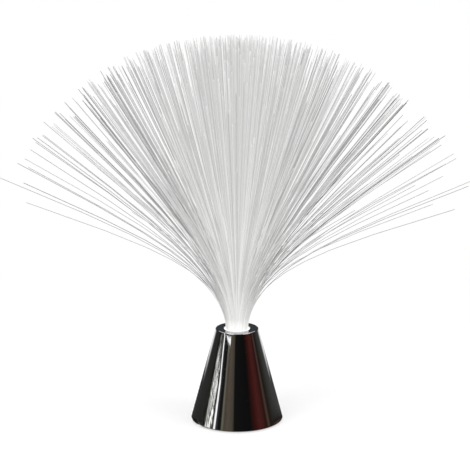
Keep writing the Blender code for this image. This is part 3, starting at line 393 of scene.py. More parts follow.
# Shader groups
def new_group(name, inputs, outputs):
    """A node group with number inputs and the named outputs."""
    made = bpy.data.node_groups.new(name, "ShaderNodeTree")
    for label, value in inputs.items():
        socket = made.interface.new_socket(label, in_out="INPUT", socket_type="NodeSocketFloat")
        socket.default_value = value
    for label in outputs:
        made.interface.new_socket(label, in_out="OUTPUT", socket_type="NodeSocketFloat")
    return made, made.nodes.new("NodeGroupInput"), made.nodes.new("NodeGroupOutput")


def node(tree, kind, values=None, **settings):
    """A node with its settings and the values of its inputs."""
    made = tree.nodes.new(kind)
    for name, value in settings.items():
        setattr(made, name, value)
    for name, value in (values or {}).items():
        if isinstance(value, bpy.types.NodeSocket):
            tree.links.new(value, made.inputs[name])
        else:
            made.inputs[name].default_value = value
    return made


def feed(tree, taker, **sources):
    """Links each source to the taker's socket of that name."""
    for label, source in sources.items():
        tree.links.new(source, taker.inputs[label.replace("_", " ")])


def object_place(tree):
    """The place on the piece, in metres."""
    return node(tree, "ShaderNodeTexCoord").outputs["Object"]


def attribute(tree, name):
    """A number that the mesh carries."""
    return node(tree, "ShaderNodeAttribute", attribute_name=name).outputs["Fac"]


def stretched(tree, value, low, high, to_low=0.0, to_high=1.0, steps="LINEAR"):
    """A number's range from low to high, stretched to another range."""
    values = {"Value": value, "From Min": low, "From Max": high, "To Min": to_low, "To Max": to_high}
    return node(tree, "ShaderNodeMapRange", values, interpolation_type=steps).outputs[0]


def maths(tree, operation, first, second=0.0):
    """A number worked out from one or two others."""
    return node(tree, "ShaderNodeMath", {0: first, 1: second}, operation=operation).outputs[0]


def noise(tree, place, scale, detail, distortion=0.0):
    """Cloudy noise between 0 and 1."""
    values = {"Vector": place, "Scale": scale, "Detail": detail, "Distortion": distortion}
    return node(tree, "ShaderNodeTexNoise", values).outputs["Fac"]


def product(tree, first, *others):
    """All the numbers multiplied."""
    for other in others:
        first = maths(tree, "MULTIPLY", first, other)
    return first


def grey(level):
    return (level,) * 3


def ramped(tree, value, stops):
    """The colour at a number between stops, each a position and a colour."""
    ramp = node(tree, "ShaderNodeValToRGB", {"Fac": value})
    elements = ramp.color_ramp.elements
    while len(elements) < len(stops):
        elements.new(0.5)
    for element, (position, colour) in zip(elements, stops):
        element.position = position
        element.color = (*colour, 1)
    return ramp.outputs["Color"]


def blended(tree, share, first, second):
    """One colour turning into another with a share."""
    values = {0: share}
    for index, colour in ((6, first), (7, second)):
        values[index] = colour if isinstance(colour, bpy.types.NodeSocket) else (*colour, 1)
    return node(tree, "ShaderNodeMix", values, data_type="RGBA").outputs[2]


def surface_group():
    """Fine grain, slow shifts of tone, and handling marks."""
    scales = {"Grain Scale": 2500, "Tone Scale": 60, "Mark Scale": 90}
    made, given, out = new_group("moulded_surface", scales, ["Grain", "Tone", "Marks"])
    place = object_place(made)
    grain = noise(made, place, given.outputs["Grain Scale"], 2)
    tone = stretched(made, noise(made, place, given.outputs["Tone Scale"], 4), 0.3, 0.7)
    marks = stretched(made, noise(made, place, given.outputs["Mark Scale"], 6, 1.2), 0.52, 0.72)
    feed(made, out, Grain=grain, Tone=tone, Marks=marks)
    return made


def dust_group():
    """Specks of dust, most of them on what faces up."""
    made, given, out = new_group("settled_dust", {"Speck Scale": 900, "Amount": 0.5}, ["Mask"])
    place = object_place(made)
    specks = node(made, "ShaderNodeTexVoronoi", {"Vector": place, "Scale": given.outputs["Speck Scale"]})
    near = stretched(made, specks.outputs["Distance"], 0.16, 0.06)
    some = stretched(made, noise(made, place, 220, 3), 0.52, 0.66)
    normal = node(made, "ShaderNodeSeparateXYZ", {0: node(made, "ShaderNodeNewGeometry").outputs["Normal"]})
    upward = stretched(made, normal.outputs["Z"], -0.2, 1.0, 0.25, 1.0)
    feed(made, out, Mask=product(made, near, some, upward, given.outputs["Amount"]))
    return made


def drawn_group():
    """Fine lines along one axis, as rolling or drawing leaves on metal."""
    made, given, out = new_group("drawn_lines", {"Line Scale": 4000}, ["Lines"])
    long = node(made, "ShaderNodeMapping", {"Vector": object_place(made), "Scale": (1.0, 1.0, 0.06)})
    feed(made, out, Lines=noise(made, long.outputs["Vector"], given.outputs["Line Scale"], 3))
    return made


SURFACE = surface_group()
DUST = dust_group()
DRAWN = drawn_group()


# Materials
def new_material(name, **sockets):
    """A material, its node tree and its shader, with the values of the shader's own sockets."""
    made = bpy.data.materials.new(name)
    made.use_nodes = True
    shader = made.node_tree.nodes["Principled BSDF"]
    for label, value in sockets.items():
        shader.inputs[label.replace("_", " ")].default_value = value
    return made, made.node_tree, shader


def use_group(tree, group, **values):
    """A shader group placed in a material with its own values."""
    inputs = {label.replace("_", " "): value for label, value in values.items()}
    return node(tree, "ShaderNodeGroup", inputs, node_tree=group)


def toned(tree, surface, colour, other_colour):
    """A colour that shifts to another with the surface's tone."""
    return blended(tree, surface.outputs["Tone"], colour, other_colour)


def worn(tree, surface, clean, marked):
    """A roughness that goes from clean to marked with the handling marks."""
    return stretched(tree, surface.outputs["Marks"], 0, 1, clean, marked)


def relief(tree, shader, height, distance):
    """Fine relief, as deep as the distance says."""
    bump = node(tree, "ShaderNodeBump", {"Height": height, "Distance": distance, "Strength": 1.0})
    feed(tree, shader, Normal=bump.outputs["Normal"])


def moulded(name, colour, other_colour, clean, marked, grain_depth, grain_scale=2500, dust=0.0):
    """A moulded or cast surface with grain, shifts of tone, handling marks and a little dust."""
    made, tree, shader = new_material(name)
    surface = use_group(tree, SURFACE, Grain_Scale=grain_scale)
    base = toned(tree, surface, colour, other_colour)
    if dust:
        specks = use_group(tree, DUST, Amount=dust)
        base = blended(tree, specks.outputs["Mask"], base, DUST_COLOUR)
    feed(tree, shader, Base_Color=base, Roughness=worn(tree, surface, clean, marked))
    relief(tree, shader, surface.outputs["Grain"], grain_depth)
    return made


def dark_chrome():
    """Vacuum-plated mirror finish over plastic, with faint smears and specks."""
    made, tree, shader = new_material("dark_chrome", Metallic=1.0)
    surface = use_group(tree, SURFACE, Grain_Scale=120, Tone_Scale=25, Mark_Scale=60)
    specks = use_group(tree, DUST, Amount=0.5, Speck_Scale=700)
    bluish = (PLATING_TONE, PLATING_TONE, PLATING_TONE * 1.02)
    rough = maths(tree, "ADD", worn(tree, surface, 0.035, 0.075), specks.outputs["Mask"])
    feed(tree, shader, Base_Color=toned(tree, surface, bluish, grey(PLATING_TONE * 1.07)), Roughness=rough)
    relief(tree, shader, surface.outputs["Grain"], 0.000004)
    return made


def drawn_metal(name, colour, other_colour, roughness, line_depth):
    """Rolled or drawn metal with fine lines and duller patches."""
    made, tree, shader = new_material(name, Metallic=1.0)
    surface = use_group(tree, SURFACE, Tone_Scale=300, Mark_Scale=500)
    lines = use_group(tree, DRAWN, Line_Scale=4000)
    rough = worn(tree, surface, roughness, roughness + 0.2)
    feed(tree, shader, Base_Color=toned(tree, surface, colour, other_colour), Roughness=rough)
    relief(tree, shader, lines.outputs["Lines"], line_depth)
    return made


def cell_jacket():
    """A plain printed sleeve between bare steel ends, told apart by the mesh's own attribute."""
    made, tree, shader = new_material("cell_jacket")
    bare = attribute(tree, "bare")
    surface = use_group(tree, SURFACE, Grain_Scale=1800, Tone_Scale=120, Mark_Scale=200)
    sleeve = toned(tree, surface, (0.035, 0.045, 0.075), (0.05, 0.06, 0.095))
    steel = toned(tree, surface, (0.60, 0.60, 0.58), (0.70, 0.69, 0.66))
    base = blended(tree, bare, sleeve, steel)
    feed(tree, shader, Base_Color=base, Metallic=bare, Roughness=worn(tree, surface, 0.24, 0.42))
    relief(tree, shader, surface.outputs["Grain"], 0.000006)
    return made


def circuit_board():
    """Green lacquer over copper tracks."""
    made, tree, shader = new_material("circuit_board")
    surface = use_group(tree, SURFACE, Mark_Scale=300)
    values = {"Vector": object_place(tree), "Scale": 260}
    tracks = node(tree, "ShaderNodeTexVoronoi", values, distance="MANHATTAN")
    track = stretched(tree, tracks.outputs["Distance"], 0.42, 0.36)
    lacquer = blended(tree, track, (0.015, 0.10, 0.04), (0.03, 0.17, 0.06))
    feed(tree, shader, Base_Color=lacquer, Roughness=worn(tree, surface, 0.28, 0.45))
    relief(tree, shader, track, 0.00003)
    return made


def milky_plastic(name, dull_height, bright_height, dull_glow, strength):
    """Milky plastic that glows between two heights, most at the upper one. On the diode the glow is the
    lamp's own light; on the collar it is painted light that brightens its top.
    """
    made, tree, shader = new_material(name, Emission_Strength=strength)
    surface = use_group(tree, SURFACE, Grain_Scale=1500)
    place = node(tree, "ShaderNodeSeparateXYZ", {0: object_place(tree)})
    height = stretched(tree, place.outputs["Z"], dull_height, bright_height, dull_glow, 1.0)
    base = toned(tree, surface, (0.78, 0.79, 0.80), (0.86, 0.87, 0.88))
    glow = blended(tree, height, grey(0), (1.0, 1.0, 0.99))
    feed(tree, shader, Base_Color=base, Roughness=worn(tree, surface, 0.22, 0.38), Emission_Color=glow)
    relief(tree, shader, surface.outputs["Grain"], 0.000008)
    return made


def fibre_plastic():
    """Clear light-guiding plastic. Each fibre's tone is partly random and partly painted shade, darker at
    the left and right of the spray and on the loosest fibres. The emission is painted light that lifts the
    shaded mass of fibres, strongest at the foot.
    """
    made, tree, shader = new_material("light_fibre", Emission_Strength=2.0, IOR=1.49)
    tone, along = attribute(tree, "tone"), attribute(tree, "along")
    surface = use_group(tree, SURFACE, Mark_Scale=250)
    # painted light: the fibres glow by this ramp, most at the neck, to lift their shaded mass
    glow = ramped(tree, along, [(share, (level, level, level * 0.99)) for share, level in PAINTED_FIBRE_LIGHT])
    above_foot = stretched(tree, along, 0.04, 0.20)
    # painted light: near the foot the glow is pale whatever the fibre's tone
    painted_light_at_foot = blended(tree, tone, grey(0.80), grey(1.08))
    own = blended(tree, above_foot, painted_light_at_foot, blended(tree, tone, grey(0.05), grey(1.0)))
    painted_light = node(tree, "ShaderNodeVectorMath", {0: glow, 1: own}, operation="MULTIPLY").outputs["Vector"]
    base = blended(tree, tone, grey(0.04), grey(0.47))
    feed(tree, shader, Base_Color=base, Roughness=worn(tree, surface, 0.18, 0.32), Emission_Color=painted_light)
    return made


def bundle_ends():
    """The polished face of the glued bundle: round fibre ends in clear glue. The emission is painted light:
    the ends glow, brighter than the glue between them.
    """
    made, tree, shader = new_material("bundle_ends", Emission_Strength=1.5, Roughness=0.12)
    flat = node(tree, "ShaderNodeMapping", {"Vector": object_place(tree), "Scale": (1.0, 1.0, 0.0)})
    values = {"Vector": flat.outputs["Vector"], "Scale": 1900, "Randomness": 0.35}
    round_end = stretched(tree, node(tree, "ShaderNodeTexVoronoi", values).outputs["Distance"], 0.46, 0.36)
    base = blended(tree, round_end, (0.35, 0.34, 0.31), (0.90, 0.91, 0.92))
    glow = blended(tree, round_end, (0.12, 0.12, 0.11), grey(0.80))
    feed(tree, shader, Base_Color=base, Emission_Color=glow)
    relief(tree, shader, round_end, 0.00004)
    return made


# Base shell
def side_radius(height):
    """The radius of the shell's outer side at a height."""
    return SHELL_HIGH.x - TAPER * (height - SHELL_LOW.z - RIM_CHAMFER)


def wall_height(radius):
    """Height at which the middle of the shell's wall has this radius."""
    return SHELL_LOW.z + (side_radius(SHELL_LOW.z) - SHELL_WALL / 2 - radius) / TAPER


def shell_outline():
    slope = math.atan(TAPER)
    centre = SHELL_TOP_RADIUS + TAPER * DECK_EDGE_RADIUS - DECK_EDGE_RADIUS / math.cos(slope)
    rib_inside = TUBE_HIGH.x + FIT
    rib_outside = rib_inside + DECK_RIB_WALL
    rib_foot = DECK_UNDER - DECK_RIB_DEPTH
    support_rings = (SHELL_LOW.z + 2 * RIM_CHAMFER, DECK_TOP - 2 * DECK_EDGE_RADIUS)
    return [
        *arc((SHELL_HIGH.x - RIM_CHAMFER, SHELL_LOW.z + RIM_CHAMFER), RIM_CHAMFER, -math.pi / 2, 0, 6),
        *[(side_radius(height), height) for height in support_rings],
        *arc((centre, DECK_TOP - DECK_EDGE_RADIUS), DECK_EDGE_RADIUS, slope, math.pi / 2, 10),
        *arc((HOLE_RADIUS + HOLE_CHAMFER, DECK_TOP - HOLE_CHAMFER), HOLE_CHAMFER, math.pi / 2, math.pi, 4),
        (HOLE_RADIUS, DECK_UNDER),
        (rib_inside, DECK_UNDER),
        (rib_inside, rib_foot),
        (rib_outside, rib_foot),
        (rib_outside, DECK_UNDER),
        (side_radius(DECK_UNDER) - SHELL_WALL, DECK_UNDER),
        (side_radius(SHELL_LOW.z) - SHELL_WALL, SHELL_LOW.z),
    ]


def screw_boss(x, y):
    """A bored boss inside the shell, whose slanting top runs into the middle of the wall."""
    outline = [
        (BOSS_BORE, BOSS_FOOT), (BOSS_RADIUS, BOSS_FOOT), (BOSS_RADIUS, DECK_UNDER), (0, DECK_UNDER),
        (0, BOSS_BORE_TOP), (BOSS_BORE, BOSS_BORE_TOP),
    ]
    bm = turned(outline, 36)
    set_down(bm, (x, y, 0))
    for corner in bm.verts:
        if corner.co.z > BOSS_BORE_TOP + FIT:
            corner.co.z = wall_height(math.hypot(corner.co.x, corner.co.y))
    return bm


def make_shell(material):
    bm = turned(shell_outline(), SHELL_STEPS)
    for x, y in BOSS_PLACES:
        add_to(bm, screw_boss(x, y))
    piece("shell", bm, "base", material, 30, ["base_shell"])


# Feet, screws and the switch
def make_feet(material):
    for number in range(1, 5):
        name = f"foot_pad_{number}"
        low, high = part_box(name)
        radius = (high.x - low.x) / 2
        outline = [
            (0, FOOT_DISH), (radius * FOOT_DISH_SHARE, FOOT_DISH), (radius * FOOT_FACE_SHARE, 0),
            *arc((radius - FOOT_ROUNDING, FOOT_ROUNDING), FOOT_ROUNDING, -math.pi / 2, 0, 6),
            (radius, high.z), (0, high.z),
        ]
        bm = turned(outline, 48)
        set_down(bm, (*middle_of(name).xy, 0))
        piece(f"rubber_foot_{number}", bm, "base", material, 40, [name])


def thread_outline(start, end):
    """The zigzag side of a thread, from the head towards the tip."""
    points = []
    height = start
    while height + THREAD_PITCH < end:
        points += [(SCREW_RADIUS - THREAD_DEPTH, height), (SCREW_RADIUS, height + THREAD_PITCH / 2)]
        height += THREAD_PITCH
    return points + [(SCREW_RADIUS - THREAD_DEPTH, height)]


def cross_cutter():
    """A cross that narrows towards its bottom, for the drive recess."""
    long, short = CROSS_REACH, CROSS_WIDTH / 2
    quarter = [(long, short), (short, short), (short, long)]
    turns = [(1, 0), (0, 1), (-1, 0), (0, -1)]
    outline = [(x * cos - y * sin, x * sin + y * cos) for cos, sin in turns for x, y in quarter]
    bm = pushed_out([(x, y, -HEAD_DEPTH) for x, y in outline], (0, 0, HEAD_DEPTH + CROSS_DEPTH))
    bottom = [corner for corner in bm.verts if corner.co.z > 0]
    bmesh.ops.scale(bm, verts=bottom, vec=(CROSS_NARROWING, CROSS_NARROWING, 1))
    return bm


def screw_shape(length, pan_head):
    """A cross-recess screw with the outer face of its head at z = 0 and its tip up."""
    radius, head_top = SCREW_HEAD_RADIUS, HEAD_LAND + HEAD_DEPTH
    if pan_head:
        head = arc((radius - PAN_ROUNDING, PAN_ROUNDING), PAN_ROUNDING, -math.pi / 2, 0, 5)
        head.append((radius, head_top))
    else:
        head = [(radius - HEAD_EDGE, 0), (radius, HEAD_EDGE), (radius, HEAD_LAND)]
    head.append((SCREW_RADIUS - THREAD_DEPTH, head_top))
    thread = thread_outline(head_top + THREAD_PITCH, length - SCREW_TIP)
    outline = [(0, 0), *head, *thread, (THREAD_DEPTH, length), (0, length)]
    return cut(turned(outline, 48), cross_cutter())


def make_screws(material):
    for family, count, length, body, pan_head in SCREWS:
        for number in range(1, count + 1):
            name = f"{family}_{number}"
            low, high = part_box(name)
            place = middle_of(name)
            place.z = high.z if pan_head else low.z
            turn = Matrix.Rotation(math.radians(SCREW_TURN + SCREW_TURN_STEP * number), 4, "Z")
            if pan_head:
                turn = UPSIDE_DOWN @ turn
            bm = screw_shape(length, pan_head)
            set_down(bm, place, turn)
            piece(f"{family}_finish_{number}", bm, body, material, 30, [name])


def make_knob(material):
    """The slider's knob, ribbed across for the fingertip."""
    low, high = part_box("switch_knob")
    ribs = int((high.x - low.x) / KNOB_RIB_PITCH)
    pitch = (high.x - low.x) / ribs
    outline = [(high.x, high.z), (low.x, high.z), (low.x, low.z)]
    for number in range(1, ribs):
        x = low.x + number * pitch
        outline += [(x - pitch / 4, low.z), (x, low.z + KNOB_GROOVE), (x + pitch / 4, low.z)]
    outline.append((high.x, low.z))
    bm = pushed_out([(x, low.y, z) for x, z in outline], (0, high.y - low.y, 0))
    ends = [edge for edge in bm.edges if edge.calc_face_angle(0) > KNOB_SHARP_ANGLE]
    bmesh.ops.bevel(bm, geom=ends, offset=KNOB_EDGE, segments=3, profile=0.5, affect="EDGES", material=-1)
    piece("knob", bm, "slider", material, 35, ["switch_knob"])


def make_lettering(material):
    """The words beside the switch, raised a little from the plate and read with the lamp tipped back."""
    for word, side in (("ON", 1), ("OFF", -1)):
        text = bpy.data.curves.new(word, "FONT")
        text.body = word
        text.size = LETTER_SIZE
        text.extrude = LETTER_RELIEF
        text.align_x = "CENTER"
        text.align_y = "CENTER"
        bm = curve_solid(text)
        set_down(bm, (side * LETTER_PLACE, middle_of("switch_body").y, PLATE_FOOT), UPSIDE_DOWN)
        piece(f"letters_{word.lower()}", bm, "base", material, 30)


# Battery cells, springs and wires
def cell_side(number):
    """The side that a cell's button faces, which is away from its spring."""
    return 1 if middle_of(f"battery_spring_{number}").x < 0 else -1


def cell_outline():
    """A sleeved cell standing on its flat end: (radius, height, whether bare metal)."""
    top, button_top = CELL_LENGTH, CELL_LENGTH + BUTTON_HEIGHT
    can, lap = CELL_RADIUS - SLEEVE, CELL_RADIUS - SLEEVE_LAP
    return [
        (0, CELL_DISH, 1), (CELL_FACE - 0.0002, CELL_DISH, 1), (CELL_FACE, 0, 1), (can - 0.0006, 0, 1),
        (can - 0.0001, 0.0004, 1), (can - 0.00009, 0.0007, 0), (CELL_RADIUS, 0.0009, 0),
        (CELL_RADIUS, top - 0.0006, 0), (CELL_RADIUS - 0.0002, top - 0.0002, 0),
        (lap, top, 0), (lap - 0.0001, top - CELL_DISH, 1),
        (BUTTON_RADIUS + 0.0004, top - CELL_DISH, 1), (BUTTON_RADIUS, top, 1),
        (BUTTON_RADIUS, button_top - BUTTON_ROUNDING, 1),
        (BUTTON_RADIUS - BUTTON_ROUNDING, button_top, 1), (0, button_top, 1),
    ]


def make_cells(material):
    outline = cell_outline()
    for number in range(1, 4):
        name = f"battery_cell_{number}"
        low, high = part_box(name)
        side = cell_side(number)
        bm = turned([(radius, height) for radius, height, _ in outline], 64)
        bare = bm.verts.layers.float.new("bare")
        for corner in bm.verts:
            radius = math.hypot(corner.co.x, corner.co.y)
            nearest = min(outline, key=lambda point: math.hypot(point[0] - radius, point[1] - corner.co.z))
            corner[bare] = nearest[2]
        place = middle_of(name)
        place.x = low.x if side > 0 else high.x
        set_down(bm, place, Matrix.Rotation(side * math.pi / 2, 4, "Y"))
        piece(f"cell_{number}", bm, "base", material, 30, [name])


def make_springs(material):
    """A cone of turns along X, from the contact to the flat end of each cell."""
    count = SPRING_TURNS * SPRING_STEPS
    for number in range(1, 4):
        name = f"battery_spring_{number}"
        low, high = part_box(name)
        start, end = low.x + SPRING_WIRE_RADIUS, high.x - SPRING_WIRE_RADIUS
        if cell_side(number) < 0:
            start, end = end, start
        middle = middle_of(f"battery_cell_{number}")
        points = []
        for step in range(count + 1):
            share = step / count
            angle = math.tau * SPRING_TURNS * share
            radius = SPRING_WIDE_RADIUS + (SPRING_NARROW_RADIUS - SPRING_WIDE_RADIUS) * share
            x = start + (end - start) * share
            points.append((x, middle.y + radius * math.cos(angle), middle.z + radius * math.sin(angle)))
        bm = tube(points, SPRING_WIRE_RADIUS, 10)
        piece(f"spring_{number}", bm, "base", material, 60, [name])


def soldering_spot(name):
    """The place just above the middle of a contact's or the switch's top."""
    top = middle_of(name)
    top.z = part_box(name)[1].z + FIT
    return top


def make_wires(red, black):
    rise = UP * WIRE_RISE
    plus, minus = soldering_spot("contact_plus"), soldering_spot("contact_minus")
    live, switched = soldering_spot("switch_body"), soldering_spot("switch_body")
    live.x, switched.x = TERMINAL_SPACING, -TERMINAL_SPACING
    over_tray = Vector(((plus.x + TERMINAL_SPACING) / 2, TRAY_SIDE, plus.z + WIRE_ARCH))
    routes = [("plus", red, [plus, plus + rise, over_tray, live + 2 * rise, live + rise, live])]
    lane = -WIRE_SPACING / 2
    for name, finish, start, side in (("switched", red, switched, -1), ("minus", black, minus, 1)):
        end = Vector((lane / 2, side * WIRE_SPACING / 2, BOARD_FOOT - FIT))
        inside = Vector((lane, side * TUBE_HOLE_RADIUS, WINDOW_HEIGHT))
        outside = Vector((lane, side * (TUBE_HIGH.x + WIRE_ARCH), WINDOW_HEIGHT))
        below = end - UP * (end.z - WINDOW_HEIGHT) / 2
        routes.append((name, finish, [start, start + 2 * rise, outside, inside, below, end]))
    for name, finish, places in routes:
        bm = tube(smooth_route(places, 10), WIRE_RADIUS, 12)
        piece(f"lead_{name}", bm, "base", finish, 60, [f"wire_{name}"])


# Light source
def make_diode(material):
    """A flanged base with a domed lens."""
    low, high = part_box("rgb_led")
    flange, lens, flange_top = high.x, high.x - FLANGE_WIDTH, low.z + FLANGE_HEIGHT
    outline = [
        (0, low.z), (flange - FLANGE_EDGE, low.z), (flange, low.z + FLANGE_EDGE),
        (flange, flange_top - FLANGE_EDGE), (flange - FLANGE_EDGE, flange_top), (lens, flange_top),
        *arc((0, high.z - lens), lens, 0, math.pi / 2, 14)[:-1], (0, high.z),
    ]
    piece("diode", turned(outline, 64), "base", material, 35, ["rgb_led"])


# Ferrule and fibres
def make_ferrule(material):
    outer, wall, edge, lip = FERRULE_HIGH.x, 0.0011, 0.0004, 0.0010
    inner = outer - wall
    outline = [
        (inner - lip, FERRULE_LOW.z),
        *arc((outer - edge, FERRULE_LOW.z + edge), edge, -math.pi / 2, 0, 5),
        *arc((outer - edge, FERRULE_HIGH.z - edge), edge, 0, math.pi / 2, 5),
        (inner, FERRULE_HIGH.z), (inner, FERRULE_LOW.z + lip), (inner - lip, FERRULE_LOW.z + lip),
    ]
    piece("collar", turned(outline, 128), "spray", material, 35, ["ferrule"])


def make_glue(material):
    """The core of the bundle inside the ferrule."""
    radius, edge = BUNDLE_RADIUS, 0.0002
    outline = [
        (0, GLUE_FOOT), (radius - edge, GLUE_FOOT), (radius, GLUE_FOOT + edge), (radius, GLUE_TOP - edge),
        (radius - edge, GLUE_TOP), (0, GLUE_TOP),
    ]
    piece("glued_bundle", turned(outline, 96), "spray", material, 35)


def fibre_run(end_tilt, length):
    """How far out and up a fibre has come at a length along it, and its tilt, which grows less and less."""
    out = up = 0.0
    step = length / BEND_STEPS
    for number in range(BEND_STEPS):
        middle = (number + 0.5) * step
        tilt = end_tilt * (1 - math.exp(-middle / BEND_LENGTH))
        out += math.sin(tilt) * step
        up += math.cos(tilt) * step
    return out, up, end_tilt * (1 - math.exp(-length / BEND_LENGTH))


def fibre_ring(foot, azimuth, out, up, tilt):
    """The corners of a fibre's cross-section, square to the way that it runs."""
    outward = Vector((math.cos(azimuth), math.sin(azimuth), 0))
    sideways = Vector((-math.sin(azimuth), math.cos(azimuth), 0))
    square = outward * math.cos(tilt) - UP * math.sin(tilt)
    middle = foot + outward * out + UP * up
    angles = [math.tau * side / FIBRE_SIDES for side in range(FIBRE_SIDES)]
    return [middle + (square * math.cos(a) + sideways * math.sin(a)) * FIBRE_RADIUS for a in angles]


def own_lean(rank, angle, dice):
    """The way a fibre leans, its end tilt, the share it lacks in length and its tone, by its place. The tone
    is random, with painted shade that darkens the fibres at the left and right of the spray and the loosest
    ones.
    """
    rank = min(1.0, max(0.0, rank + dice.uniform(-RANK_SPREAD, RANK_SPREAD)))
    azimuth = angle + dice.uniform(-AZIMUTH_SPREAD, AZIMUTH_SPREAD)
    to_right = math.cos(azimuth)
    sideways = FRONT_SHARE + SIDE_SHARE * abs(to_right)
    looseness = rank**LOOSE_POWER
    steeper = 1 + LEFT_STEEPER * min(0, to_right) * rank**LEFT_POWER
    end_tilt = MAIN_TILT * rank**MAIN_POWER * steeper + LOOSE_TILT * sideways * looseness
    shorter = SIDE_SHORTER * (rank**SIDE_POWER - looseness) + LOOSE_SHORTER * looseness
    # painted shade: darker tones for fibres at the left and right of the spray
    shaded = to_right**2 * max(0.0, rank - SHADED_RANK)
    brightest = 1.0 - LOOSE_PAINTED_SHADE * looseness - BRIGHT_SHADING * shaded
    return azimuth, end_tilt, shorter, dice.uniform(DARK_TONE - DARK_SHADING * shaded, brightest)


def all_fibres():
    """Every fibre as its sector, its tone and the rings of corners that it runs through."""
    dice = random.Random(FIBRE_SEED)
    feet, leans = [], []
    for number in range(FIBRE_COUNT):
        rank = math.sqrt((number + 0.5) / FIBRE_COUNT)
        angle = number * GOLDEN_ANGLE
        feet.append(Vector((math.cos(angle), math.sin(angle), 0)) * (FOOT_CIRCLE * rank) + UP * GLUE_TOP)
        leans.append(own_lean(rank, angle, dice))
    first = int(FIBRE_COUNT * STRAND_RANK**2)
    last = int(FIBRE_COUNT * FREE_RANK**2)
    leaders = KDTree(FIBRE_COUNT)
    for number in range(first, last, STRAND_FIBRES):
        leaders.insert(feet[number], number)
    leaders.balance()
    fibres = []
    for number, foot in enumerate(feet):
        azimuth, end_tilt, shorter, tone = leans[number]
        if first < number < last and dice.random() < CLINGING * number / FIBRE_COUNT:
            azimuth, end_tilt, shorter, tone = leans[leaders.find(foot)[1]]
            azimuth += dice.gauss(0, STRAND_AZIMUTH_SPREAD)
            end_tilt += dice.gauss(0, STRAND_TILT_SPREAD)
        length = (FIBRE_LENGTH - LENGTH_SPREAD * dice.random() ** 2) * (1 - shorter)
        rings = [fibre_ring(foot, azimuth, 0, 0, 0)]
        for share in PATH_SHARES:
            rings.append(fibre_ring(foot, azimuth, *fibre_run(end_tilt, length * share)))
        degrees = math.degrees(number * GOLDEN_ANGLE)
        sector = int((degrees + 180 / SECTORS) % 360 // (360 / SECTORS)) + 1
        tone = min(1.0, max(0.0, tone + dice.uniform(-TONE_SPREAD, TONE_SPREAD)))
        fibres.append((sector, tone, rings))
    return fibres


def make_fibres(material):
    """The fibres, grown from their feet, as one fan for each sector of the bundle."""
    fibres = all_fibres()
    for sector in range(1, SECTORS + 1):
        own = [fibre for fibre in fibres if fibre[0] == sector]
        bm = bmesh.new()
        number_of = bm.faces.layers.int.new("number")
        # the tone carries random differences and painted shade
        tone_of = bm.verts.layers.float.new("tone")
        along_of = bm.verts.layers.float.new("along")
        caps = []
        for number, (_, tone, rings) in enumerate(own):
            corners = [bm.verts.new(corner) for corner in rings[0]]
            for corner in corners:
                corner[tone_of] = tone
            cap = bm.faces.new(corners)
            cap[number_of] = number
            caps.append(cap)
        for level, share in enumerate(PATH_SHARES, start=1):
            caps = bmesh.ops.extrude_discrete_faces(bm, faces=caps)["faces"]
            for cap in caps:
                for corner, place in zip(cap.verts, own[cap[number_of]][2][level]):
                    corner.co = place
                    corner[along_of] = share
        bmesh.ops.recalc_face_normals(bm, faces=bm.faces)
        piece(f"fibre_fan_{sector}", bm, "spray", material, 80, [f"fibre_sector_{sector}"])


# Studio
def seen_directly(tree):
    """1 where the camera looks at a surface itself, or in a mirror or through clear material."""
    path = node(tree, "ShaderNodeLightPath")
    straight = path.outputs["Is Camera Ray"]
    for way in ("Is Glossy Ray", "Is Transmission Ray"):
        straight = maths(tree, "MAXIMUM", straight, path.outputs[way])
    return straight


def white_backdrop(world):
    """A world that is white where the camera looks and half as bright for the light that it gives."""
    world.use_nodes = True
    tree = world.node_tree
    background = tree.nodes["Background"]
    background.inputs["Color"].default_value = (1, 1, 1, 1)
    tree.links.new(stretched(tree, seen_directly(tree), 0, 1, 0.5, 1.0), background.inputs["Strength"])


def make_floor():
    """A pale floor that keeps a soft shadow near the lamp and is plain white further off."""
    bm = bmesh.new()
    bmesh.ops.create_circle(bm, cap_ends=True, segments=64, radius=FLOOR_RADIUS)
    floor = placed("floor", mesh_from("floor", bm))
    made, tree, shader = new_material(
        "floor", Base_Color=(0.5, 0.5, 0.5, 1), Roughness=0.6, Specular_IOR_Level=0.0
    )
    place = object_place(tree)
    distance = node(tree, "ShaderNodeVectorMath", {0: place}, operation="LENGTH").outputs["Value"]
    far = stretched(tree, distance, *SHADOW_FADE, steps="SMOOTHSTEP")
    near_glow = node(tree, "ShaderNodeEmission", {"Color": (1, 1, 1, 1), "Strength": 0.5})
    near = node(tree, "ShaderNodeAddShader", {0: shader.outputs[0], 1: near_glow.outputs[0]})
    white = node(tree, "ShaderNodeEmission", {"Color": (1, 1, 1, 1), "Strength": 1.0})
    pale = node(tree, "ShaderNodeMixShader", {0: far, 1: near.outputs[0], 2: white.outputs[0]})
    plain = node(tree, "ShaderNodeBsdfDiffuse", {"Color": (0.85, 0.85, 0.85, 1)})
    seen = seen_directly(tree)
    shown = node(tree, "ShaderNodeMixShader", {0: seen, 1: plain.outputs[0], 2: pale.outputs[0]})
    clear = node(tree, "ShaderNodeBsdfTransparent")
    below = node(tree, "ShaderNodeNewGeometry").outputs["Backfacing"]
    both = node(tree, "ShaderNodeMixShader", {0: below, 1: shown.outputs[0], 2: clear.outputs[0]})
    feed(tree, tree.nodes["Material Output"], Surface=both.outputs[0])
    floor.data.materials.append(made)


